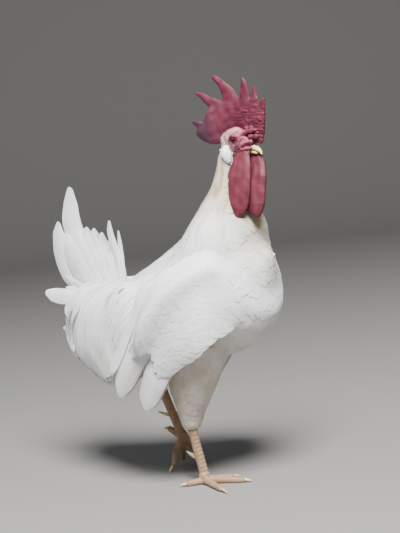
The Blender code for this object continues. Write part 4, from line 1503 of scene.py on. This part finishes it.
# Tail feathers: their paths in body mm and half widths from root to tip. Side 0 is unpaired.
SICKLES = {
    "sickle_right": (
        [
            (-130, -6, 236), (-146, -7, 270), (-164, -7, 306),
            (-174, -7, 336), (-173, -6, 358), (-170, -5, 386),
        ],
        (5, 10, 14, 16, 16, 15.4, 12.5, 5),
    ),
    "sickle_left": (
        [(-132, 8, 236), (-150, 8, 270), (-168, 9, 304), (-179, 9, 330), (-181, 9, 352), (-178, 8, 372)],
        (5, 9, 13, 14.5, 14, 13, 10.5, 4),
    ),
    "covert_rear_right": (
        [
            (-138, -10, 228), (-164, -10, 248), (-184, -10, 272),
            (-193, -10, 298), (-195, -10, 322), (-193, -9, 341),
        ],
        (5, 10, 14.5, 16, 15.5, 13.5, 10, 4),
    ),
    "covert_rear_left": (
        [
            (-138, 11, 228), (-162, 11, 250), (-182, 11, 272),
            (-192, 12, 296), (-195, 12, 314), (-195, 11, 330),
        ],
        (5, 9, 13, 14.5, 14, 12.5, 9, 4),
    ),
    "covert_side": (
        [(-146, -20, 238), (-166, -20, 240), (-188, -19, 241), (-208, -16, 243), (-226, -13, 247)],
        (4, 7.5, 10, 10.6, 10.4, 9, 4),
    ),
    "covert_upright": (
        [(-100, -8, 250), (-99, -8, 280), (-104, -8, 304), (-108, -8, 322), (-107, -8, 338)],
        (3, 4.8, 5.8, 5.8, 5, 2),
    ),
    "covert_front": (
        [(-100, -4, 246), (-98, -4, 272), (-97, -4, 300), (-97, -4, 324)],
        (3, 4.6, 5, 4.6, 3.4, 1.4),
    ),
}
# The round outline along which the tips of the main tail feathers end, from front to rear, each
# with half its width.
FAN_TIPS = (
    (-103, 286, 8),
    (-112, 299, 9),
    (-122, 311, 11),
    (-135, 322, 13),
    (-149, 328, 15),
    (-163, 330, 16),
    (-178, 326, 16),
)
FAN_SHARES = (0.35, 0.65, 0.88, 1, 1, 0.95, 0.82, 0.6, 0.26)


def build_tail(finish):
    """The upright tail: seven pairs of main feathers, sickles over them, and curved coverts."""
    rng = np.random.default_rng(16)
    coat = Coat()

    def put(path, halves, face, seed, tint=0.02, camber=0.14):
        grid, shafts = plume(path, halves, face, camber=camber, seed=seed)
        coat.add(grid[None], None, tint)
        for shaft in shafts:
            coat.add(shaft[None], None, 0.12)

    for way in SIDES.values():
        for k, (x, z, half) in enumerate(FAN_TIPS):
            t = k / 6
            root = np.array((-115 - 14 * t, (3 + 8 * t) * way, 222 + 2 * t))
            tip = np.array((x, (3.5 + 10 * t) * way, z))
            bend = np.array((1 - 7 * t, 2.5 * way, 2.0 - 4 * t))
            path = [root, root + (tip - root) * 0.35 + bend, root + (tip - root) * 0.7 + bend, tip]
            put(path, half * np.array(FAN_SHARES), (-0.1, way, 0.05), 20 + k)
        # Narrow curved coverts in three tiers hide the roots of the main feathers.
        for tier, (number, rise, out) in enumerate(((9, 72, 13), (10, 54, 17), (11, 38, 21))):
            for k in range(number):
                t = (k + rng.uniform(0.3, 0.7)) / number
                root = np.array((-113 - 32 * t, out * (0.6 + 0.3 * t) * way, 228 - 8 * t - 4 * tier))
                up = rise * (1.0 - 0.35 * t) * rng.normal(1, 0.05)
                tip = root + np.array((-4 - 44 * t, rng.uniform(-2, 1) * way, up))
                knee = root + (tip - root) * 0.55 + np.array((2, 2.0 * way, 5))
                size = (6.4 - 0.5 * tier) * rng.normal(1, 0.06)
                halves = (3, size * 0.8, size, size, size * 0.95, size * 0.75, 1.8)
                put([root, knee, tip], halves, (-0.1, way, 0.12), 60 + 10 * tier + k)
    # Soft feathers hang in tiers under the tail, between the two halves of the saddle.
    for tier, k in np.ndindex(8, 11):
        y = (k - 5 + 0.5 * (tier % 2)) * 9 + rng.uniform(-1, 1)
        heights = 229 - 12 * tier - np.array((0, 13, 26, 36)) + rng.uniform(-2, 2)
        hits = [WORK["coat"].tree.ray_cast(at(-300, y, z), (1, 0, 0))[0] for z in heights.tolist()]
        if any(hit is None for hit in hits):
            continue
        path = body_mm(np.array([hit[:] for hit in hits])) - np.outer((-0.5, 1.5, 2.5, 3.0), (1, 0, 0))
        if np.ptp(np.diff(path[:, 0])) < 12:
            put(path, (4, 7.5, 9, 9, 7.5, 3.5), (-1, 0.3 * np.sign(y), 0.1), 200 + 11 * tier + k)
    for seed, (name, (path, halves)) in enumerate(SICKLES.items()):
        way = 1 if name.endswith("left") else -1
        face = (0.25, way, 0.3) if name == "covert_side" else (-0.05, way, 0.05)
        put(path, halves, face, 100 + seed, 0.0, 0.16)
    return coat.finish("tail_feathers", finish)


def build_face_bristles(finish):
    """Tiny feathers on the edge of the face, behind the ears and down the throat."""
    form = WORK["head"]
    rng = np.random.default_rng(17)

    def within(spots):
        head = head_mm(spots)
        edge = bare_edge(head)
        return (edge > -1.5) & (edge < 10) & (head[:, 2] < 16) & (head[:, 2] > -40)

    roots = form.scattered(rng, lambda spots: 1.35, within)
    faces = [form.tree.find_nearest(spot)[2] for spot in roots.tolist()]
    roots = roots[WORK["fleshy"][form.faces[faces]].mean(axis=1) < 0.35]
    length = 3.5 + 3.5 * smoothstep(-2, 8, bare_edge(head_mm(roots)))
    length *= rng.normal(1, 0.12, len(roots))
    sizes_mm = {"length": length, "width": 1.5 + 0.12 * length, "depth": 0.4, "lift": 0.9}
    grids, facing = lay(form, roots, BRISTLE, rng=rng, sway=9, firm=0.4, wide=False, **sizes_mm)
    coat = Coat()
    coat.add(grids, rng.normal(0.03, 0.04, len(roots)), facing=facing)
    return coat.finish("face_bristles", finish)


# ------------------------------------------------------------------ stage


def in_scene(name, data):
    made = bpy.data.objects.new(name, data)
    bpy.context.scene.collection.objects.link(made)
    return made


def build_camera():
    """The bird seen from its right front at its own height, with the frame tilted a little."""
    roll, pitch, distance = math.radians(6), math.radians(5.4), 1.75
    right = Vector((math.cos(VIEW_AZIMUTH), math.sin(VIEW_AZIMUTH), 0))
    back = Vector((math.sin(VIEW_AZIMUTH), -math.cos(VIEW_AZIMUTH), 0))
    lens = bpy.data.cameras.new("camera")
    lens.sensor_fit = "HORIZONTAL"
    lens.sensor_width = 36
    lens.lens = 72.63 * distance  # in step with the distance, so the bird keeps its size
    lens.clip_start = 0.05
    toward = back * math.cos(pitch) + UP * math.sin(pitch)
    level = UP.cross(toward).normalized()
    across = level * math.cos(-roll) + toward.cross(level) * math.sin(-roll)
    stand = Matrix((across, toward.cross(across), toward)).transposed().to_4x4()
    stand.translation = at(24.5, -35, 0) + back * distance + right * 0.02 + UP * 0.44
    made = in_scene("camera", lens)
    made.matrix_world = stand
    bpy.context.scene.camera = made


def area_light(name, place_at, size, power, colour):
    light = bpy.data.lights.new(name, "AREA")
    light.shape = "DISK"
    light.size = size
    light.energy = power
    light.color = colour[:3]
    made = in_scene(name, light)
    made.location = place_at
    made.rotation_euler = (place_at - at(0, 0, 230)).to_track_quat("Z", "Y").to_euler()
    return made


def build_stage(colours):
    """A pale floor that curves up into a backdrop, soft light from above and an even sky."""
    radius, far, wide, high = 1.5, 5.0, 9.0, 6.0
    turns = np.linspace(0, math.pi / 2, 15)
    profile = [(-9.0, 0.0)]
    profile += [(far - radius * (1 - math.sin(turn)), radius * (1 - math.cos(turn))) for turn in turns]
    profile.append((far, high))
    away = Vector((-math.sin(VIEW_AZIMUTH), math.cos(VIEW_AZIMUTH), 0))
    across = Vector((math.cos(VIEW_AZIMUTH), math.sin(VIEW_AZIMUTH), 0))
    points = [away * run + across * side + UP * up for side in (-wide, wide) for run, up in profile]
    floor = place("floor", quad_mesh("floor", points, grid_quads(2, len(profile), False)))
    floor.data.materials.append(plain("board_matt_painted", tuple(colours.floor), 0.85))
    key = area_light("key", at(950, -1150, 2400), 1.2, 330, linear("#FCFDFA"))
    fill = area_light("fill", at(-1500, -1300, 1700), 2.2, 14, linear("#EAF2FF"))
    world = bpy.data.worlds.new("sky")
    bpy.context.scene.world = world
    world.use_nodes = True
    wire(world.node_tree.nodes["Background"], {"Color": linear("#EEF3FA"), "Strength": 0.22})
    build_camera()


# ------------------------------------------------------------------ settings


def colour_prop(name, description, code):
    return FloatVectorProperty(
        name=name, description=description, subtype="COLOR", size=4, min=0, max=1, default=linear(code)
    )


def length_prop(name, description, millimetres, least, most):
    return FloatProperty(
        name=name,
        description=description,
        subtype="DISTANCE",
        unit="LENGTH",
        default=millimetres * MM,
        min=least * MM,
        max=most * MM,
        precision=5,
    )


class CockSizes(PropertyGroup):
    """Sizes that a user may change."""

    coat_depth: length_prop("Coat depth", "How far the skin lies inside the coat", 6, 2, 12)
    body_feather: length_prop("Body feather", "Length of a breast feather", 25, 12, 45)
    neck_hackle: length_prop("Neck hackle", "Length of the longest neck hackle", 82, 30, 110)
    saddle_hackle: length_prop("Saddle hackle", "Length of the longest saddle hackle", 128, 60, 160)
    face_detail: length_prop("Face detail", "Size of the faces of the head's skin", 0.72, 0.5, 2)
    body_detail: length_prop("Body detail", "Size of the faces of the body's skin", 3, 2, 6)
    leg_detail: length_prop("Leg detail", "Size of the faces of the legs' skin", 0.8, 0.5, 2)


class CockColours(PropertyGroup):
    """Colours that a user may change."""

    white: colour_prop("White", "The white of the feathers", "#FAFAFB")
    # The cream stands partly for staining and partly for painted shade on the throat and underside.
    cream: colour_prop("Cream", "The stain on throat and belly feathers", "#C4AC86")
    comb: colour_prop("Comb", "The red of the comb", "#551A2D")
    wattle: colour_prop("Wattle", "The red of the wattles", "#5A212E")
    face: colour_prop("Face", "The pink of the bare skin behind the eye", "#A87F80")
    lobe: colour_prop("Ear lobe", "The white of the ear lobes", "#F1EEEE")
    iris: colour_prop("Iris", "The brown-red of the eye", "#451015")
    horn: colour_prop("Horn", "The yellow of the beak", "#E6CB92")
    scale: colour_prop("Scale", "The yellow-brown of the legs", "#937D64")
    floor: colour_prop("Floor", "The floor and backdrop", "#787674")


def shades(colour):
    """A darker shade of a colour, the colour itself and a paler one."""
    return [(*[min(1.0, c * share) for c in colour[:3]], 1.0) for share in (0.62, 1.0, 1.15)]


def vane_finish(name, colours, barb_mm, length_mm):
    known = bpy.data.materials.get(name)
    return known or feather_vane(name, colours.white, colours.cream, barb_mm, length_mm)


def settled(made, slot, *replaced):
    """Says that a piece rides on the bird and stands for these solids, which are hidden. The slot is not
    used.
    """
    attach(made, "root")
    if replaced:
        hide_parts(*replaced)
    return made


# ------------------------------------------------------------------ operators


def settings(context):
    return context.scene.cock_sizes, context.scene.cock_colours


class COCK_OT_skin(Operator):
    """Builds one skin over head, body and legs"""

    bl_idname = "cock.skin"
    bl_label = "Skin"

    def execute(self, context):
        make_forms()
        settled(build_skin(*settings(context)), "bare_face", *FLESH)
        return {"FINISHED"}


class COCK_OT_eyes(Operator):
    """Builds both eyeballs"""

    bl_idname = "cock.eyes"
    bl_label = "Eyes"

    def execute(self, context):
        colours = context.scene.cock_colours
        for side in SIDES:
            settled(build_eye(side, colours), "eye", "eye_" + side)
        return {"FINISHED"}


class COCK_OT_horn(Operator):
    """Builds the beak, claws and spurs"""

    bl_idname = "cock.horn"
    bl_label = "Beak, claws and spurs"

    def execute(self, context):
        colours = context.scene.cock_colours
        beak = horn("horn_beak_grown", *shades(colours.horn), 2.2, 0.36)
        tough = horn("horn_claw_grown", linear("#8F7352"), linear("#BFA377"), linear("#D9C5A0"), 1.6, 0.42)
        claws = pairs("claw_hind", "claw_inner", "claw_middle", "claw_outer")
        spurs = ["spur_left", "spur_right"]
        for name, nodes, slot, finish, voxel_mm, rounds in (
            ("beak_upper_horn", ["beak_upper"], "horn", beak, 0.45, 12),
            ("beak_lower_horn", ["beak_lower"], "horn", beak, 0.45, 12),
            ("claws_horn", claws, "claw", tough, 0.4, 10),
            ("spurs_horn", spurs, "horn", tough, 0.4, 10),
        ):
            made = refined(name, nodes, voxel_mm, rounds)
            made.data.materials.append(finish)
            settled(made, slot, *nodes)
        return {"FINISHED"}


class COCK_OT_body_feathers(Operator):
    """Lays the rounded feathers of breast, belly, back and thighs"""

    bl_idname = "cock.body_feathers"
    bl_label = "Body feathers"

    def execute(self, context):
        sizes, colours = settings(context)
        finish = vane_finish("feather_contour_white", colours, 1.3, in_mm(sizes.body_feather))
        for made in (build_down(finish), *build_body_feathers(sizes, finish)):
            settled(made, "plumage")
        return {"FINISHED"}


class COCK_OT_neck_hackles(Operator):
    """Lays the hackles of the neck"""

    bl_idname = "cock.neck_hackles"
    bl_label = "Neck hackles"

    def execute(self, context):
        sizes, colours = settings(context)
        finish = vane_finish("feather_hackle_silky", colours, 1.6, in_mm(sizes.neck_hackle))
        settled(build_neck_hackles(sizes, finish), "plumage")
        return {"FINISHED"}


class COCK_OT_saddle_hackles(Operator):
    """Hangs the hackles of the saddle"""

    bl_idname = "cock.saddle_hackles"
    bl_label = "Saddle hackles"

    def execute(self, context):
        sizes, colours = settings(context)
        finish = vane_finish("feather_hackle_silky", colours, 1.6, in_mm(sizes.neck_hackle))
        made = build_saddle_hackles(sizes, finish)
        settled(made, "plumage", "saddle_right", "saddle_left")
        return {"FINISHED"}


class COCK_OT_wings(Operator):
    """Lays the coverts and flight feathers of both folded wings"""

    bl_idname = "cock.wings"
    bl_label = "Wings"

    def execute(self, context):
        sizes, colours = settings(context)
        small = vane_finish("feather_contour_white", colours, 1.3, in_mm(sizes.body_feather))
        large = vane_finish("feather_flight_stiff", colours, 1.4, FLIGHT_FEATHER)
        settled(build_wing_coverts(sizes, small), "plumage")
        for label in WING_ROWS:
            settled(build_flight(label, large), "plumage", *pairs(label))
        return {"FINISHED"}


class COCK_OT_tail(Operator):
    """Sets up the tail with its sickles and coverts"""

    bl_idname = "cock.tail"
    bl_label = "Tail"

    def execute(self, context):
        colours = context.scene.cock_colours
        large = vane_finish("feather_flight_stiff", colours, 1.4, FLIGHT_FEATHER)
        settled(build_tail(large), "plumage", "tail_fan", *SICKLES)
        return {"FINISHED"}


class COCK_OT_face_bristles(Operator):
    """Lays the tiny feathers round the face"""

    bl_idname = "cock.face_bristles"
    bl_label = "Face bristles"

    def execute(self, context):
        colours = context.scene.cock_colours
        finish = vane_finish("feather_bristle_fine", colours, 1.0, 5)
        settled(build_face_bristles(finish), "plumage")
        return {"FINISHED"}


class COCK_OT_stage(Operator):
    """Builds the floor, lights and camera"""

    bl_idname = "cock.stage"
    bl_label = "Stage"

    def execute(self, context):
        sizes, colours = settings(context)
        build_stage(colours)
        return {"FINISHED"}


STEPS = (
    COCK_OT_skin,
    COCK_OT_eyes,
    COCK_OT_horn,
    COCK_OT_body_feathers,
    COCK_OT_neck_hackles,
    COCK_OT_saddle_hackles,
    COCK_OT_wings,
    COCK_OT_tail,
    COCK_OT_face_bristles,
    COCK_OT_stage,
)


class COCK_PT_panel(Panel):
    """Lists the steps of the build"""

    bl_label = "White Cock"
    bl_idname = "COCK_PT_panel"
    bl_space_type = "VIEW_3D"
    bl_region_type = "UI"
    bl_category = "Cock"

    def draw(self, context):
        for step in STEPS:
            self.layout.operator(step.bl_idname)
        for group in (context.scene.cock_sizes, context.scene.cock_colours):
            for key in group.bl_rna.properties.keys():
                if key not in ("rna_type", "name"):
                    self.layout.prop(group, key)


CLASSES = (CockSizes, CockColours, *STEPS, COCK_PT_panel)


def register():
    for made in CLASSES:
        bpy.utils.register_class(made)
    bpy.types.Scene.cock_sizes = PointerProperty(type=CockSizes)
    bpy.types.Scene.cock_colours = PointerProperty(type=CockColours)


def unregister():
    del bpy.types.Scene.cock_colours
    del bpy.types.Scene.cock_sizes
    for made in reversed(CLASSES):
        bpy.utils.unregister_class(made)


def main():
    register()
    for step in STEPS:
        group, name = step.bl_idname.split(".")
        getattr(getattr(bpy.ops, group), name)()


if __name__ == "__main__":
    main()
